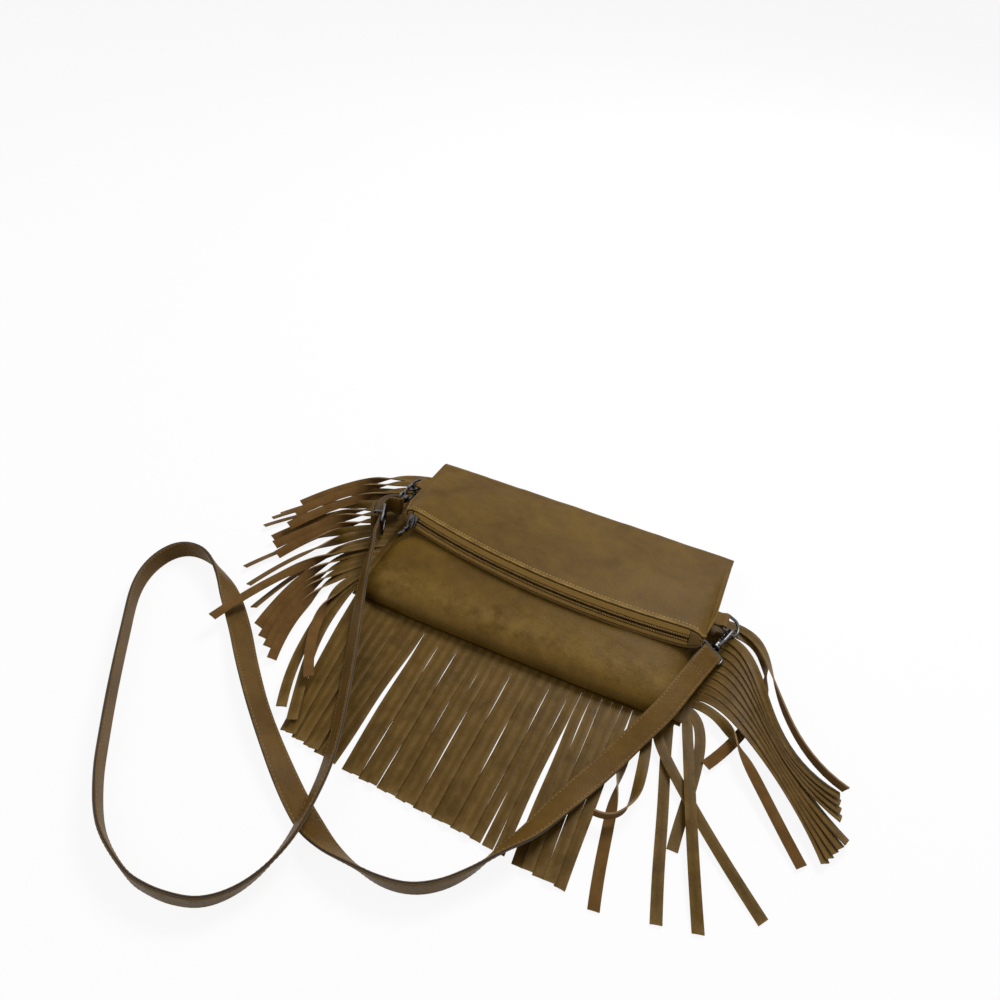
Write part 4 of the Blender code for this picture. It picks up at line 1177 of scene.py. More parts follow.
BOTTOM_BUNDLES = (
    (9, 0, 2.1, ((-127, -62, 1), (-115, -131, 1)), ((-73, -62, 1), (-73, -137, 1))),
    (15, 0, 2.1, ((-62, -64, 1), (-59, -138, 1)), ((46, -66, 1), (43, -142, 1))),
    (1, 0, 0, ((53, -66, 3), (52, -143, 2))),
    (1, 0, 0, ((60, -66, 1), (60, -143, 1))),
    (5, 0, 2.1, ((70, -66, 1), (74, -145, 1)), ((102, -66, 1), (104, -146, 1))),
    (1, -180, 0, ((112, -72, 1), (128, -149, 1))),
    (1, 90, 0, ((144, -98, 14), (107, -94, 9))),
    (1, 0, 0, ((127, -26, 7), (160, -56, 5), (225, -110, 1))),
    (1, 0, 0, ((146, -60, 1), (165, -140, 1))),
)
LEFT_BUNDLES = (
    (2, 0, 2.1, ((-150, -48, 4), (-114, -124, 6)), ((-162, -40, 4), (-127, -118, 4))),
    (1, 180, 0, ((-166, -30, 12), (-121, -91, 12))),
    (4, 150, 2.1, ((-184, -12, 6), (-160, -86, 4)), ((-196, 14, 6), (-188, -66, 4))),
    (1, 180, 0, ((-190, 20, 16), (-220, -80, 15))),
    (3, -150, 2.1, ((-190, 44, 4), (-204, -52, 5)), ((-202, 60, 3), (-240, -18, 3))),
    (3, 150, 2.1, ((-196, 76, 5), (-222, 4, 6)), ((-204, 92, 5), (-236, 18, 6))),
    (3, -150, 2.1, ((-206, 98, 3), (-256, 30, 3)), ((-206, 120, 3), (-252, 50, 3))),
    (3, 150, 1.9, ((-196, 118, 7), (-228, 32, 14)), ((-204, 140, 7), (-236, 62, 12))),
)
RIGHT_BUNDLES = (
    (1, 0, 0, ((156, -40, 13), (190, -134, 1))),
    (1, 0, 0, ((168, 4, 1), (160, -40, 1), (162, -92, 1))),
    (1, 180, 0, ((178, 18, 12), (186, -10, 10), (241, -66, 2))),
    (5, -28, 0, ((172, 30, 12), (192, 2, 14), (226, -16, 8), (254, -58, 4)),
     ((173, 61, 14), (190, 31, 18), (210, -9, 11), (265, -39, 6))),
    (4, -28, 0, ((173, 69, 14), (190, 38, 19), (206, -7, 13), (259, -25, 8)),
     ((174, 92, 15), (189, 60, 22), (194, -2, 17), (255, -11, 12))),
    (1, 180, 0, ((204, 112, 6), (206, 40, 4), (167, -24, 3))),
    (1, -90, 0, ((190, 114, 4), (190, 75, 24), (200, 0, 30), (258, -6, 14))),
)


def tube(
    bm: bmesh.types.BMesh, line: Sequence[Vector], radius: float, sides: int = 14, closed: bool = False,
) -> None:
    """Add a round wire along a line of points.

    Args:
        bm: The mesh that it goes into.
        line: The points that its middle passes, in one plane where it is closed.
        radius: The wire's radius.
        sides: Faces round it.
        closed: Whether the line joins end to end.
    """
    points = [*line, line[0]] if closed else list(line)
    last = len(points) - 1
    tangents = []
    for index, _ in enumerate(points):
        ahead = points[1] if closed and index == last else points[min(index + 1, last)]
        behind = points[last - 1] if closed and index == 0 else points[max(index - 1, 0)]
        tangents.append((ahead - behind).normalized())
    side = tangents[0].orthogonal().normalized()
    sides_at = []
    for tangent in tangents:
        side = (side - tangent * side.dot(tangent)).normalized()
        sides_at.append(side)
    before = set(bm.verts)

    def place(across: float, along: float) -> Vector:
        """The wire's surface."""
        index = round(along * last)
        turn = 2 * math.pi * across
        normal = tangents[index].cross(sides_at[index])
        return points[index] + (sides_at[index] * math.cos(turn) + normal * math.sin(turn)) * radius

    add_grid(bm, sides, last, place, lambda across, along: (across * radius * 6, along))
    made = [vert for vert in bm.verts if vert not in before]
    bmesh.ops.remove_doubles(bm, verts=made, dist=0.002 * MM)
    rim = [e for e in bm.edges if e.is_boundary and not set(e.verts) & before]
    if rim:
        bmesh.ops.holes_fill(bm, edges=rim, sides=sides)
    fresh = [face for face in bm.faces if not set(face.verts) & before]
    bmesh.ops.recalc_face_normals(bm, faces=fresh)


def turned(
    bm: bmesh.types.BMesh, place: Matrix, profile: Sequence[tuple[float, float]], steps: int = 24,
) -> None:
    """Add a part turned about its frame's X axis.

    Args:
        bm: The mesh that it goes into.
        place: Its frame.
        profile: Its outline as pairs of a place along the axis and a radius.
        steps: Faces round it.
    """
    verts = [bm.verts.new(place @ Vector((x, radius, 0.0))) for x, radius in profile]
    edges = [bm.edges.new(pair) for pair in zip(verts, verts[1:])]
    axis = place.to_3x3() @ Vector((1, 0, 0))
    bmesh.ops.spin(
        bm, geom=[*verts, *edges], cent=place.translation, axis=axis, angle=2 * math.pi, steps=steps,
        use_merge=True, use_duplicate=False,
    )
    bmesh.ops.remove_doubles(bm, verts=bm.verts, dist=0.002 * MM)
    bmesh.ops.recalc_face_normals(bm, faces=bm.faces)


def plate(
    bm: bmesh.types.BMesh, place: Matrix, outline: Sequence[tuple[float, float, float]], travel: Vector,
    rounding: float,
) -> None:
    """Add a flat outline made solid, with rounded edges.

    Args:
        bm: The mesh that it goes into.
        place: Its frame.
        outline: Points in the frame.
        travel: The way and length that it is made solid, in the frame.
        rounding: The radius of its edges.
    """
    part = bmesh.new()
    face = part.faces.new([part.verts.new(place @ Vector(point)) for point in outline])
    grown = bmesh.ops.extrude_face_region(part, geom=[face])["geom"]
    verts = [item for item in grown if isinstance(item, bmesh.types.BMVert)]
    bmesh.ops.translate(part, verts=verts, vec=place.to_3x3() @ travel)
    bmesh.ops.recalc_face_normals(part, faces=part.faces)
    bmesh.ops.bevel(
        part, geom=part.edges, offset=rounding, offset_type="OFFSET", affect="EDGES", segments=2, profile=0.5,
        material=-1, clamp_overlap=True,
    )
    mesh = mesh_from("plate", part)
    bm.from_mesh(mesh)
    bpy.data.meshes.remove(mesh)


def rounded_loop(half_length: float, half_width: float, corner: float, steps: int = 6) -> list[Vector]:
    """A rectangle in X and Y with rounded corners.

    Args:
        half_length: Half its size along X.
        half_width: Half its size along Y.
        corner: Its corners' radius.
        steps: Steps round each corner.

    Returns:
        Its points.
    """
    points = []
    for centre_x, centre_y, start in ((1, 1, 0), (-1, 1, 1), (-1, -1, 2), (1, -1, 3)):
        for step in range(steps + 1):
            turn = math.pi / 2 * (start + step / steps)
            points.append(Vector((
                centre_x * (half_length - corner) + corner * math.cos(turn),
                centre_y * (half_width - corner) + corner * math.sin(turn),
                0.0,
            )))
    return points


@dataclass
class Hardware:
    """The D-ring, its leather tab and the swivel snap hook at one end of the bag."""

    pouch: Pouch
    side: Side
    behind_zip: float
    aim: Vector
    eye_across: Vector
    tab_width: float = 14 * MM
    tab_leather: float = 1.0 * MM
    tab_reach: float = 8 * MM
    tab_insert: float = 3 * MM
    ring_wire: float = 1.3 * MM
    ring_width: float = 16.4 * MM
    ring_leg: float = 8 * MM
    ring_bow: float = 6 * MM
    ring_droop: float = math.radians(30)
    hook_wire: float = 1.5 * MM
    hook_bow: float = 4.6 * MM
    hook_tip: float = 4.5 * MM
    hook_pivot: float = 13 * MM
    boss_start: float = 15 * MM
    boss_length: float = 5 * MM
    boss_radius: float = 3.5 * MM
    gate_width: float = 2 * MM
    gate_thickness: float = 1.7 * MM
    pin_radius: float = 0.5 * MM
    ear_thickness: float = 0.7 * MM
    eye_wire: float = 1.2 * MM
    eye_head: float = 1.8 * MM
    eye_start: float = 23 * MM
    eye_bar: float = 29 * MM
    strap_width: float = 17 * MM
    side_play: float = 0.6 * MM
    running_gap: float = 0.35 * MM

    def ring_frame(self) -> Matrix:
        """The D-ring's frame: X out of its tab, Y towards the fold, with its bar at the origin."""
        sign = self.side.value
        end = self.pouch.arc.right if sign > 0 else self.pouch.arc.left
        y = end.y + self.behind_zip
        far = y + self.tab_width / 2
        heights = []
        for inset in (0, self.tab_insert, 2 * self.tab_insert):
            line = self.pouch.front_line(sign * (self.pouch.half - inset))
            top, lip = line[-1 - self.pouch.lip_steps], line[-1]
            share = (top.y - far) / (top.y - lip.y)
            heights.append(top.z + (lip.z - top.z) * share - self.pouch.thickness / 2)
        gap = self.pouch.gap
        height = min(heights) - gap - 1.5 * self.tab_leather - gap / 2
        out = Vector((sign * math.cos(self.ring_droop), 0.0, -math.sin(self.ring_droop)))
        bar = Vector((sign * (self.pouch.half + self.tab_reach), y, height))
        return local_frame(bar, out, Vector((0, 1, 0)))

    def hook_frame(self) -> Matrix:
        """The hook's frame: X from its bow to its eye, Z across its flat."""
        ring = self.ring_frame()
        leg = ring @ Vector((self.ring_leg * 0.75, -self.ring_width / 2, 0))
        seat = self.hook_bow - self.hook_wire - self.ring_wire - self.running_gap
        flat = ring.to_3x3() @ Vector((1, 0, 0))
        return local_frame(leg + self.aim.normalized() * seat, self.aim, flat.cross(self.aim))

    def bar(self) -> Vector:
        """The middle of the eye's bar, which the strap goes round."""
        return self.hook_frame() @ Vector((self.eye_bar, 0, 0))

    def metal(self, name: str, bm: bmesh.types.BMesh, body: str, node: str) -> None:
        """Finish one metal piece of this side for a node, on a body of this side or on the bag.

        Args:
            name: The piece's name without its side.
            bm: Its mesh, which is freed.
            body: The body's name without its side, or nothing for the bag.
            node: The node's name without its side.
        """
        word = self.side.word
        on = f"{word}_{body}" if body else "bag"
        piece_from(f"{word}_{name}", bm, (GUNMETAL,), on, [f"{word}_{node}"], sharp=40.0)

    def build(self) -> None:
        """Make every piece of this end."""
        self.ring()
        self.tab()
        self.casting()
        self.pin()
        self.gate()
        self.eye()

    def ring(self) -> None:
        """Bend the D-ring."""
        place = self.ring_frame()
        half = self.ring_width / 2
        bow = []
        for step in range(25):
            turn = math.pi / 2 * (1 - step / 12)
            bow.append(Vector((self.ring_leg + self.ring_bow * math.cos(turn), half * math.sin(turn), 0)))
        corner = 2.0 * MM
        for sign, first in ((-1, 0), (1, 1)):
            arc = []
            for step in range(7):
                turn = math.pi / 2 * step / 6
                x = corner - corner * math.sin(turn)
                y = sign * (half - corner + corner * math.cos(turn))
                arc.append(Vector((x, y, 0)))
            bow += arc if first == 0 else arc[::-1]
        bm = bmesh.new()
        tube(bm, [place @ point for point in bow], self.ring_wire, 14, closed=True)
        self.metal("ring_wire", bm, "ring", "d_ring")

    def tab(self) -> None:
        """Fold the leather tab round the ring's bar."""
        origin = self.ring_frame().translation
        sign = self.side.value
        wrap = self.ring_wire + self.running_gap + self.tab_leather / 2
        leg = (self.tab_leather + self.pouch.gap) / 2
        root = self.tab_reach + self.tab_insert
        line = [Vector((0, -root * (1 - step / 4) - 2 * wrap * step / 4, leg)) for step in range(5)]
        for step in range(21):
            turn = math.radians(130 - 260 * step / 20)
            line.append(Vector((0, wrap * math.cos(turn), wrap * math.sin(turn))))
        line += [Vector((0, point.y, -leg)) for point in line[4::-1]]
        line_at = along_line(smooth_curve(line, 2))

        def place(across: float, along: float) -> Vector:
            """The tab's point, with softly rounded sides."""
            point = line_at(along)
            y = (across - 0.5) * self.tab_width * sign
            return origin + Vector((sign * point.y, y, point.z))

        bm = bmesh.new()
        add_grid(
            bm, 8, 60, place, lambda across, along: (across * 14 * MM, along * 30 * MM),
            lambda across, along: abs(2 * across - 1) ** 6 * 0.7,
        )
        word = self.side.word
        piece = piece_from(
            f"{word}_tab_leather", bm, POUCH_LEATHER, "bag",
            [f"{word}_ring_tab"],
        )
        thicken(piece, self.tab_leather, 0.2 * MM)

    @property
    def ear_base(self) -> float:
        """From the hook's middle to the inside of an ear beside the gate."""
        return self.gate_thickness / 2 + self.running_gap

    def casting(self) -> None:
        """Make the hook's body: its boss, its bow and the two ears that hold the gate."""
        place = self.hook_frame()
        start, end = self.boss_start, self.boss_start + self.boss_length
        neck = start + self.boss_length / 2
        bore = self.eye_wire + self.running_gap
        bm = bmesh.new()
        chamfer = 0.4 * MM
        shoulder = self.boss_radius - chamfer
        turned(bm, place, [
            (start, bore), (start, shoulder), (start + chamfer, self.boss_radius),
            (neck - chamfer, self.boss_radius), (neck, shoulder), (neck + chamfer, self.boss_radius),
            (end - chamfer, self.boss_radius), (end, shoulder), (end, bore), (start, bore),
        ])
        bow = []
        for step in range(17):
            turn = math.pi * (1.5 - step / 16)
            bow.append(Vector((self.hook_bow * math.cos(turn), self.hook_bow * math.sin(turn), 0)))
        stem = [
            Vector((neck, -self.boss_radius * 0.75, 0)),
            Vector((self.hook_pivot - self.hook_wire / 2, -self.hook_bow * 0.9, 0)),
            Vector((self.hook_pivot - 2 * self.hook_wire, -self.hook_bow, 0)),
        ]
        line = smooth_curve([*stem, *bow, Vector((self.hook_tip, self.hook_bow, 0))], 2)
        tube(bm, [place @ point for point in line], self.hook_wire, 14)
        ear = (
            (self.hook_pivot - self.gate_width * 0.7, self.hook_bow - self.gate_width * 0.6),
            (start - self.running_gap, self.hook_bow - self.gate_width), (neck, self.boss_radius * 0.5),
            (neck, self.boss_radius * 0.8),
            (self.hook_pivot + self.gate_width / 2, self.hook_bow + self.gate_width * 0.6),
            (self.hook_pivot - self.gate_width * 0.7, self.hook_bow + self.gate_width * 0.6),
        )
        for base in (self.ear_base, -self.ear_base - self.ear_thickness):
            outline = [(x, y, base) for x, y in ear]
            plate(bm, place, outline, Vector((0, 0, self.ear_thickness)), 0.15 * MM)
        self.metal("hook_casting", bm, "hook", "hook_body")

    def pin(self) -> None:
        """Turn the pin that the gate swings on."""
        seat = self.hook_frame() @ Matrix.Translation((self.hook_pivot, self.hook_bow, 0))
        pivot = seat @ Matrix.Rotation(-math.pi / 2, 4, "Y")
        reach = self.ear_base + self.ear_thickness
        bm = bmesh.new()
        radius = self.pin_radius
        turned(bm, pivot, [
            (-reach, 0), (-reach, radius * 0.8), (-reach + 0.1 * MM, radius),
            (reach - 0.1 * MM, radius), (reach, radius * 0.8), (reach, 0),
        ], 12)
        self.metal("pin_turned", bm, "hook", "gate_pin")

    def gate(self) -> None:
        """Make the gate, a bar that tapers round its pin."""
        half = self.gate_width / 2
        heel = self.hook_pivot + half * 0.8
        tip = self.hook_tip + self.running_gap
        shape = ((tip, -half), (self.hook_pivot, -half), (heel, -half * 0.6),
                 (heel, half * 0.6), (self.hook_pivot, half), (tip, half))
        bm = bmesh.new()
        outline = [(x, self.hook_bow + y, -self.gate_thickness / 2) for x, y in shape]
        plate(bm, self.hook_frame(), outline, Vector((0, 0, self.gate_thickness)), 0.25 * MM)
        self.metal("gate_bar", bm, "gate", "hook_gate")

    def eye(self) -> None:
        """Make the swivel eye: a headed shank and a loop as wide as the strap."""
        place = self.hook_frame()
        half_length = (self.eye_bar - self.eye_start) / 2
        half_width = self.strap_width / 2 + self.eye_wire + self.side_play
        centre = place @ Vector((self.eye_start + half_length, 0, 0))
        loop = local_frame(centre, place.to_3x3() @ Vector((1, 0, 0)), self.eye_across)
        bm = bmesh.new()
        points = rounded_loop(half_length, half_width, self.eye_wire * 1.25)
        head = self.boss_start - self.running_gap
        wire = self.eye_wire
        turned(bm, place, [
            (head - wire, 0), (head - wire, self.eye_head - 0.3 * MM), (head - wire + 0.3 * MM, self.eye_head),
            (head, self.eye_head), (head, wire), (self.eye_start - wire, wire), (self.eye_start, wire * 1.3),
            (self.eye_start, 0),
        ], 16)
        tube(bm, [loop @ point for point in points], wire, 14, closed=True)
        self.metal("eye_wire", bm, "", "hook_eye")


STRAP_ROUTE = (
    (143, 50, 15.5, -22), (139.5, 38, 16, -20), (134, 17, 18, -14), (128, -3, 17, -8),
    (121.5, -18, 14.5, -4), (114, -34, 11, 0), (106.5, -51, 8, 2), (97, -72, 7, 4),
    (85, -99, 8.5, 18), (74, -125, 10.5, 38), (62, -145, 12, 62), (50, -164, 9.5, 82),
    (37, -179, 9.5, 88), (21, -189, 9.5, 88), (2, -193, 9.5, 85), (-20, -192, 9.3, 70),
    (-41, -188, 7.5, 45), (-63, -179, 4.2, 14), (-87, -165, 4.5, 16), (-116, -145, 6.5, 30),
    (-145, -123, 7, 35), (-174, -98, 6.5, 28), (-200, -74, 5, 16), (-224, -54, 5.5, 24),
    (-246, -38, 8.5, 60), (-270, -27, 9.5, 86), (-290, -27, 9.5, 90), (-302, -38, 9.5, 90),
    (-305, -59, 9.5, 90), (-297, -84, 9.5, 90), (-274, -119, 9.5, 90), (-249, -155, 9.5, 90),
    (-224, -189, 9.5, 90), (-200, -219, 9.5, 90), (-173, -243, 9.5, 90), (-141, -256, 9.5, 90),
    (-123, -258, 9.5, 90), (-105, -256, 9.5, 90), (-88, -250, 9.5, 95), (-75, -238, 9.8, 102),
    (-66, -221, 11, 110), (-61, -199, 14, 118), (-62, -175, 16.2, 122), (-67, -148, 16, 124),
    (-77, -120, 14, 124), (-90, -90, 13, 124), (-105, -57, 13, 124), (-121, -23, 14.5, 122),
    (-136, 10, 16.5, 118), (-145, 35, 18, 112), (-151.5, 52, 18, 96), (-156, 63, 18, 94),
    (-160.5, 74, 18, 94), (-164.8, 84.6, 18, 94), (-164.8, 90, 18, 92), (-162, 94.8, 18, 88),
    (-156.5, 96.8, 18, 82),
)


@dataclass
class Strap:
    """The strap of two stitched plies, sewn back at its right end and led round its adjuster at its left."""

    right: Hardware
    left: Hardware
    width: float = 17 * MM
    ply: float = 1.3 * MM
    gap: float = 0.3 * MM
    end: float = 27 * MM
    tail: float = 12 * MM
    step: float = 4 * MM
    from_eye: float = 34 * MM
    spacing: float = 10 * MM
    adjuster_wire: float = 1.3 * MM
    left_lean: float = 78.0
    right_lean: float = -22.0
    stitch_inset: float = 1.7 * MM
    stitch_pitch: float = 3.4 * MM
    stitch_size: Vector = field(default_factory=lambda: Vector((2.3, 0.5, 0.4)) * MM)
    stitch_sink: float = 0.06 * MM
    cross_row: float = 2.5 * MM
    cross_pitch: float = 2.9 * MM
    girth: float = 38 * MM
    crease: float = 0.3 * MM
    unevenness: float = 0.12 * MM

    def __post_init__(self) -> None:
        """Lay the middle line from the right eye's bar to the left one."""
        ends = [
            Vector((*hook.bar(), math.radians(lean)))
            for hook, lean in ((self.right, self.right_lean), (self.left, self.left_lean))
        ]
        chosen = [Vector((x * MM, y * MM, z * MM, math.radians(lean))) for x, y, z, lean in STRAP_ROUTE]
        self.points = smooth_curve([ends[0], *chosen, ends[1]], 4)
        self.places = [0.0]
        for here, there in zip(self.points, self.points[1:]):
            self.places.append(self.places[-1] + (there.xyz - here.xyz).length)
        self.length = self.places[-1]

    def at(self, distance: float) -> Vector:
        """The point and lean at a distance along the middle line."""
        index = 0
        while index < len(self.places) - 2 and self.places[index + 1] < distance:
            index += 1
        share = (distance - self.places[index]) / (self.places[index + 1] - self.places[index])
        point = self.points[index].lerp(self.points[index + 1], share)
        point.w = self.points[index].lerp(self.points[index + 1], min(max(share, 0), 1)).w
        return point

    def frame_at(self, distance: float) -> tuple[Vector, Vector, Vector, Vector]:
        """The middle line's point, tangent, side and normal at a distance along it."""
        here = self.at(distance)
        reach = self.step
        tangent = (self.at(distance + reach).xyz - self.at(distance - reach).xyz).normalized()
        level = UP.cross(tangent).normalized()
        side = Matrix.Rotation(here.w, 3, tangent) @ level
        centre = (self.at(distance + reach / 2).xyz + here.xyz * 2 + self.at(distance - reach / 2).xyz) / 4
        return centre, tangent, side, tangent.cross(side)

    def profile(self) -> list[Spot]:
        """The strap's path as pairs of distance and offset beside its middle line."""
        thickness = 2 * self.ply
        layer = (thickness + self.gap) / 2
        running = self.right.running_gap
        eye_wrap = self.right.eye_wire + running + self.ply
        bar_wrap = self.adjuster_wire + running + self.ply
        far_wrap = -2 * bar_wrap - layer / 4
        bar = self.length - self.from_eye
        over_bar = self.gap + thickness
        dip = over_bar - self.ply
        half_turn = [math.pi * step / 14 for step in range(15)]

        def run(start: Spot, *legs: tuple[int, Spot]) -> list[Spot]:
            """An eased passage through some stops, without the last of them."""
            made = []
            for steps, stop in legs:
                for step in range(steps):
                    share = step / steps
                    eased = share * share * (3 - 2 * share)
                    distance = start[0] + (stop[0] - start[0]) * share
                    made.append((distance, start[1] + (stop[1] - start[1]) * eased))
                start = stop
            return made

        near = 0.8 * MM
        path = run((self.end, -layer), (5, (3 * eye_wrap, -layer)), (3, (near, -eye_wrap)))
        path += [(-eye_wrap * math.sin(turn), -eye_wrap * math.cos(turn)) for turn in half_turn]
        first = self.end + 3 * self.step
        last = bar - self.spacing - 3 * self.step
        stop = self.length - 3 * eye_wrap
        path += run(
            (near, eye_wrap), (3, (3 * eye_wrap, layer)), (5, (self.end, layer)), (3, (first, 0.0)),
            (round((last - first) / self.step), (last, 0.0)), (3, (bar - self.spacing, dip)),
            (4, (bar, over_bar)), (4, (bar + self.spacing, dip)), (4, (stop, dip)),
            (3, (self.length - near, eye_wrap)),
        )
        path += [
            (self.length + eye_wrap * math.sin(turn), eye_wrap * math.cos(turn)) for turn in half_turn
        ]
        inner = dip - 2 * layer
        beside = bar + 0.6 * MM
        path += run(
            (self.length - near, -eye_wrap), (3, (stop, inner)), (4, (bar + self.spacing, inner)),
            (4, (beside, 0.0)),
        )
        path += [
            (bar - bar_wrap * math.sin(turn), -bar_wrap + bar_wrap * math.cos(turn)) for turn in half_turn
        ]
        path += run((beside, -2 * bar_wrap), (4, (bar + self.tail, far_wrap)))
        path.append((bar + self.tail, far_wrap))
        return path

    def line(self) -> list[tuple[Vector, Vector, Vector]]:
        """The strap's own line as (centre, side, outward) at every point of its path."""
        spots = []
        for distance, offset in self.profile():
            centre, _, side, normal = self.frame_at(distance)
            spots.append((centre + normal * offset, side))
        line = []
        for index, (point, side) in enumerate(spots):
            ahead = spots[min(index + 1, len(spots) - 1)][0]
            behind = spots[max(index - 1, 0)][0]
            line.append((point, side, side.cross(ahead - behind).normalized()))
        return line

    def section(self) -> list[tuple[float, float, int]]:
        """The strap's outline as (across, through, slot), with dips at the stitching and a side groove."""
        half = self.width / 2
        dip = half - self.stitch_inset
        face = (
            (0.0, self.ply), (half * 0.42, self.ply), (dip - 1.1 * MM, self.ply - 0.02 * MM),
            (dip, self.ply - 0.16 * MM), (dip + 0.7 * MM, self.ply - 0.06 * MM),
            (half - 0.35 * MM, self.ply - 0.16 * MM),
        )
        rim = (
            (half - 0.03 * MM, self.ply * 0.62), (half, self.ply * 0.4), (half - 0.12 * MM, self.ply * 0.16),
            (half - 0.5 * MM, 0.0),
        )
        quarter = [(x, z, 0) for x, z in face]
        quarter += [(x, z, 1) for x, z in rim[:2]] + [(x, z, 2) for x, z in rim[2:]]
        lower = [(x, -z, slot) for x, z, slot in reversed(quarter[1:-1])]
        right = quarter + lower
        left = [(-x, z, slot) for x, z, slot in reversed(right[1:])]
        return right + [(0.0, -self.ply, 0)] + left

    def build(self) -> None:
        line = self.line()
        section = self.section()
        last = len(line) - 1
        count = len(section)
        bend = [0.0] * len(line)
        for index in range(2, last - 1):
            one = (line[index][0] - line[index - 2][0]).normalized()
            two = (line[index + 2][0] - line[index][0]).normalized()
            bend[index] = one.angle(two, 0.0)

        def place(across: float, along: float) -> Vector:
            """The strap's surface, with small creases where it bends sharply."""
            index = round(along * last)
            x, z, _ = section[round(across * count) % count]
            point, side, out = line[index]
            fold = noise.noise(point * 170 + Vector((x * 120, 0, 0))) * min(bend[index] * 3, 1.0)
            rest = noise.noise(point * 60)
            body = 1.0 if abs(x) < self.width * 0.44 else 0.0
            rise = (fold * self.crease + rest * self.unevenness) * body
            return point + side * x + out * (z + rise * (1 if z > 0 else -1))

        def wear(across: float, along: float) -> float:
            """Light rubbing along the strap's edges."""
            x = section[round(across * count) % count][0]
            return max(abs(x) / (self.width / 2) - 0.86, 0.0) / 0.14 * 0.8

        bm = bmesh.new()
        lengths = [0.0]
        for here, there in zip(line, line[1:]):
            lengths.append(lengths[-1] + (there[0] - here[0]).length)
        add_grid(
            bm, count, last, place,
            lambda across, along: (across * self.girth, lengths[round(along * last)]), wear,
        )
        charted = bm.loops.layers.uv["metres"]
        for face in bm.faces:
            middle = sum(loop[charted].uv.x for loop in face.loops) / len(face.loops) / self.girth
            first = int(middle * count) % count
            face.material_index = max(section[first][2], section[(first + 1) % count][2])
        bmesh.ops.remove_doubles(bm, verts=bm.verts, dist=0.002 * MM)
        bmesh.ops.holes_fill(bm, edges=[edge for edge in bm.edges if edge.is_boundary], sides=count)
        bmesh.ops.recalc_face_normals(bm, faces=bm.faces)
        piece = piece_from("strap_plies", bm, STRAP_LEATHER, "bag", ["strap"], sharp=60.0)
        stitches = self.stitching(line, lengths)
        adjuster = self.adjuster()
        tuple(self.right.bar() + SEAM)
        self.width

    def stitching(self, line: list[tuple[Vector, Vector, Vector]], lengths: list[float]) -> bpy.types.Object:
        """Sew both rows of stitches, on both faces, and the two cross rows at the doubled right end.

        Args:
            line: The strap's own line.
            lengths: The length of the line up to each of its points.

        Returns:
            The stitches.
        """
        bm = bmesh.new()
        inset = self.width / 2 - self.stitch_inset
        size = self.stitch_size
        height = self.ply - self.stitch_sink
        wanted = self.stitch_pitch
        for index in range(1, len(line)):
            while lengths[index] >= wanted:
                share = (wanted - lengths[index - 1]) / max(lengths[index] - lengths[index - 1], 1e-9)
                point, side, out = (a.lerp(b, share) for a, b in zip(line[index - 1], line[index]))
                along = line[index][0] - line[index - 1][0]
                for across in (-inset, inset):
                    for face in (-1, 1):
                        add_stitch(bm, point + side * across + out * height * face, along, out * face, size)
                wanted += self.stitch_pitch
        doubled = self.end - 3 * MM
        for distance in (doubled, doubled - self.cross_row):
            centre, tangent, side, normal = self.frame_at(distance)
            top = centre + normal * ((2 * self.ply + self.gap) / 2 + height)
            for step in range(-2, 3):
                spot = top + side * step * self.cross_pitch + tangent * (step * step * 0.25 - 0.5) * MM
                add_stitch(bm, spot, side, normal, size)
        return piece_from("strap_stitches", bm, (DARK_THREAD,), "bag")

    def adjuster(self) -> bpy.types.Object:
        """Bend the slide adjuster and its centre bar."""
        centre, tangent, side, normal = self.frame_at(self.length - self.from_eye)
        thickness = 2 * self.ply
        wire = self.adjuster_wire
        bar_wrap = wire + self.right.running_gap + self.ply
        outer = self.gap + thickness / 2 + bar_wrap
        place = local_frame(centre + normal * outer, tangent, side)
        half_width = self.width / 2 + wire + self.right.side_play
        bm = bmesh.new()
        tube(bm, [place @ p for p in rounded_loop(self.spacing, half_width, 2 * wire)], wire, 14, closed=True)
        drop = -outer - bar_wrap
        inner = half_width - wire / 4
        staple = [
            Vector((0, -inner, wire / 4)), Vector((0, -inner, drop * 0.5)), Vector((0, -inner, drop * 0.9)),
            Vector((0, -inner * 0.94, drop)), Vector((0, inner * 0.94, drop)), Vector((0, inner, drop * 0.9)),
            Vector((0, inner, drop * 0.5)), Vector((0, inner, wire / 4)),
        ]
        tube(bm, [place @ point for point in staple], wire * 0.85, 12)
        return piece_from("adjuster_wire", bm, (GUNMETAL,), "bag", ["strap_adjuster"], sharp=40.0)


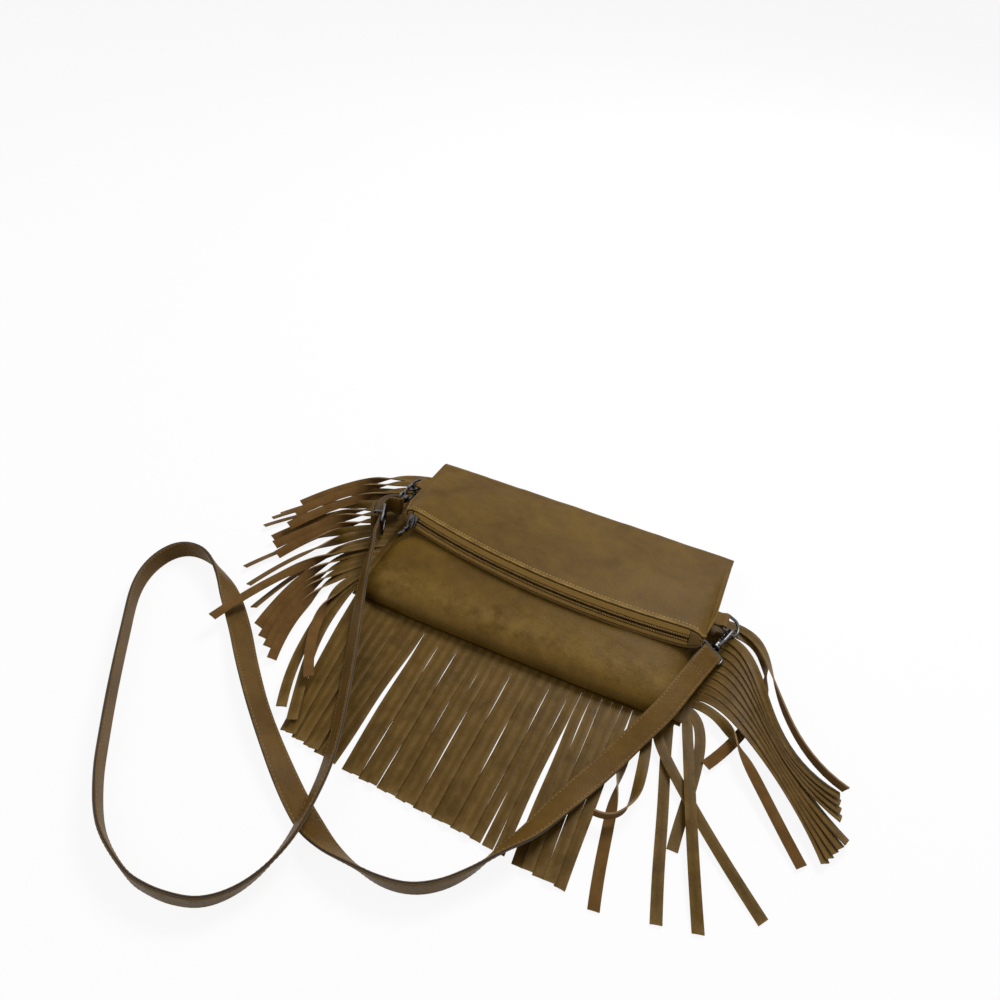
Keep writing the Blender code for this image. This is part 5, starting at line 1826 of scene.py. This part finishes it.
@dataclass
class Pull:
    """The oval link in the slider's bail and the pull that hangs on it."""

    zip_chain: ZipChain
    link_length: float = 8 * MM
    link_radius: float = 2.5 * MM
    link_wire: float = 0.7 * MM
    length: float = 12 * MM
    width: float = 5 * MM
    thickness: float = 2.2 * MM
    eye: float = 1.4 * MM
    droop: float = math.radians(6)
    plate_rise: float = 1.55 * MM
    link_play: float = 0.35 * MM
    shank_half: float = 1.0 * MM
    upper_bar: float = 2.2 * MM
    lower_bar: float = 3.2 * MM

    def build(self) -> None:
        """Make the link and the pull, and give the slider its finish."""
        chain = self.zip_chain
        angle = chain.angle(chain.slider_rest)
        tangent, down, _ = chain.arc.axes(angle)
        place = local_frame(chain.arc.point(angle), down, tangent)
        height = chain.coil_top + self.plate_rise + self.link_wire + self.link_play
        inner = -self.link_wire / 2
        middle = place @ Matrix.Translation((inner + self.link_length / 2, 0, height))
        loop = rounded_loop(self.link_length / 2, self.link_radius, self.link_radius * 0.8)
        bm = bmesh.new()
        tube(bm, [middle @ point for point in loop], self.link_wire, 12, closed=True)
        piece_from("pull_link_wire", bm, (GUNMETAL,), "pull_link", ["zip_pull_link"], sharp=40.0)
        along = place.to_3x3() @ Vector((0, 1, 0))
        eye = place @ Vector((inner + self.link_length, 0, height))
        forward = Vector((along.y, -along.x, 0)).normalized()
        aim = forward * math.cos(self.droop) - UP * math.sin(self.droop)
        pull = local_frame(eye, along, aim)
        self.tab(pull)
        slider = frame["nodes"]["zip_slider"]
        slider.data.materials.clear()
        slider.data.materials.append(GUNMETAL.build())

    def tab(self, pull: Matrix) -> None:
        """Make the pull: a barrel on the link and a shank with a crossbar, like a letter H lying down."""
        half = self.thickness / 2
        bm = bmesh.new()
        wide = self.width / 2
        collar = self.eye + 1.1 * MM
        ring = [Vector((0, collar * 0.72 * math.cos(t), collar * 0.72 * math.sin(t)))
                for t in (2 * math.pi * step / 18 for step in range(18))]
        tube(bm, [pull @ point for point in ring], half * 0.75, 12, closed=True)
        upper = collar * 0.9
        for start, end, reach, rounding in (
            (collar * 0.6, self.length - 3 * MM, self.shank_half, 0.3 * MM),
            (upper, upper + self.upper_bar, wide, 0.45 * MM),
            (self.length - self.lower_bar, self.length, wide, 0.45 * MM),
        ):
            bar = [(-half, start, -reach), (-half, end, -reach), (-half, end, reach), (-half, start, reach)]
            plate(bm, pull, bar, Vector((self.thickness, 0, 0)), rounding)
        piece_from("pull_tab_casting", bm, (GUNMETAL,), "pull_tab", ["zip_pull_tab"], sharp=40.0)


@dataclass
class Studio:
    """The camera, the floor and the soft lights."""

    place: Vector = field(default_factory=lambda: Vector((0.13002, -0.42771, 0.50753)))
    azimuth: float = 22.645
    elevation: float = 42.91
    roll: float = 3.182
    lens: float = 27.72
    sensor: float = 36.0
    floor_size: float = 8.0
    floor_shine: float = 0.9
    room_light: float = 0.38
    lamps: tuple[tuple[str, tuple[float, float, float], float, float], ...] = (
        ("key_lamp", (0.25, 1.1, 1.3), 0.6, 24.0),
        ("fill_lamp", (-0.9, -0.7, 1.3), 1.2, 5.0),
    )

    def camera(self) -> None:
        """Set up the camera at the photograph's angle."""
        a, e, r = (math.radians(angle) for angle in (self.azimuth, self.elevation, self.roll))
        back = Vector((math.sin(a) * math.cos(e), -math.cos(a) * math.cos(e), math.sin(e)))
        right = Vector((math.cos(a), math.sin(a), 0.0))
        up = back.cross(right)
        turned_right = right * math.cos(r) + up * math.sin(r)
        turned_up = up * math.cos(r) - right * math.sin(r)
        data = bpy.data.cameras.new("camera")
        data.lens = self.lens
        data.sensor_width = self.sensor
        data.clip_start = 0.01
        made = stand("camera", data)
        made.matrix_world = Matrix.Translation(self.place) @ Matrix(
            (turned_right, turned_up, back),
        ).transposed().to_4x4()
        bpy.context.scene.camera = made

    def lamp(self, name: str, place: tuple[float, float, float], size: float, power: float) -> None:
        """Add one soft lamp aimed at the bag.

        Args:
            name: Its name.
            place: Where it stands.
            size: Its side length.
            power: Its power in watts.
        """
        data = bpy.data.lights.new(name, "AREA")
        data.size = size
        data.energy = power
        made = stand(name, data)
        made.location = place
        made.rotation_mode = "QUATERNION"
        made.rotation_quaternion = (-Vector(place)).to_track_quat("-Z", "Y")

    def seen(self, sheet: NodeSheet) -> bpy.types.NodeSocket:
        """1 for what the camera or a reflection sees, and 0 for what lights the bag."""
        path = sheet.add("LightPath")
        return sheet.math("MAXIMUM", path.outputs["Is Camera Ray"], path.outputs["Is Glossy Ray"])

    def floor(self) -> None:
        """Lay the pale floor, which the camera and reflections see as near white."""
        bm = bmesh.new()
        bmesh.ops.create_grid(bm, x_segments=1, y_segments=1, size=self.floor_size / 2)
        made = stand("floor", mesh_from("floor", bm))
        paint = bpy.data.materials.new("floor_paint")
        paint.use_nodes = True
        sheet = NodeSheet(paint.node_tree)
        paint.node_tree.nodes.clear()
        share = sheet.math("MULTIPLY", self.seen(sheet), self.floor_shine)
        matt = sheet.add("BsdfDiffuse", {"Color": (0.86, 0.86, 0.86, 1.0)})
        glow = sheet.add("Emission", {"Color": (1.0, 1.0, 1.0, 1.0), "Strength": 1.0})
        mixed = sheet.add("MixShader", {0: share, 1: matt.outputs[0], 2: glow.outputs[0]})
        sheet.add("OutputMaterial", {"Surface": mixed.outputs[0]})
        made.data.materials.append(paint)

    def sky(self) -> None:
        """Fill the room with even light, white to the camera."""
        world = bpy.data.worlds.new("studio")
        bpy.context.scene.world = world
        world.use_nodes = True
        sheet = NodeSheet(world.node_tree)
        world.node_tree.nodes.clear()
        rest = sheet.math("MULTIPLY", self.seen(sheet), 1.0 - self.room_light)
        strength = sheet.math("ADD", rest, self.room_light)
        glow = sheet.add("Background", {"Color": (1.0, 1.0, 1.0, 1.0), "Strength": strength})
        sheet.add("OutputWorld", {"Surface": glow.outputs[0]})

    def build(self) -> None:
        """Make the floor and the lights."""
        self.floor()
        self.sky()
        for lamp in self.lamps:
            self.lamp(*lamp)
        bpy.context.scene.view_settings.view_transform = "Standard"


def clear_start() -> None:
    """Remove what Blender starts with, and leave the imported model."""
    kept = {*frame["nodes"].values(), *frame["bodies"].values()}
    for item in [item for item in bpy.data.objects if item not in kept]:
        bpy.data.objects.remove(item, do_unlink=True)


def build_fringes(pouch: Pouch) -> None:
    """Make the three fringes of a pouch, with their headers in its seams."""
    half = pouch.half
    height = 2.3 * MM
    start = 2.5 * MM
    fringes = (
        Fringe("bottom_strips", "bottom_fringe", Vector((-138.25 * MM, 0, height)), Vector((1, 0, 0)),
               Vector((0, -1, 0)), BOTTOM_BUNDLES, 3),
        Fringe("left_strips", "left_fringe", Vector((-half, start, height)), Vector((0, 1, 0)),
               Vector((-1, 0, 0)), LEFT_BUNDLES, 5),
        Fringe("right_strips", "right_fringe", Vector((half, start, height)), Vector((0, 1, 0)),
               Vector((1, 0, 0)), RIGHT_BUNDLES, 8),
    )
    for fringe in fringes:
        fringe.build()


def main() -> None:
    """Build the studio, the bag and its strap."""
    logging.basicConfig(level=logging.INFO, format="%(name)s: %(message)s")
    clear_start()
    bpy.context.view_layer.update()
    studio = Studio()
    studio.camera()
    arc = ZipArc()
    pouch = Pouch(arc)
    left = Hardware(pouch, Side.LEFT, 51 * MM, Vector((0.1, -0.985, 0.22)), Vector((0, 0.22, 0.98)))
    right = Hardware(pouch, Side.RIGHT, 36 * MM, Vector((-0.3, -0.95, 0.05)), Vector((0.88, -0.28, -0.38)))
    Strap(right, left).build()
    studio.build()
    pouch.build()
    chain = ZipChain(pouch)
    chain.build()
    Pull(chain).build()
    left.build()
    right.build()
    build_fringes(pouch)


if __name__ == "__main__":
    main()
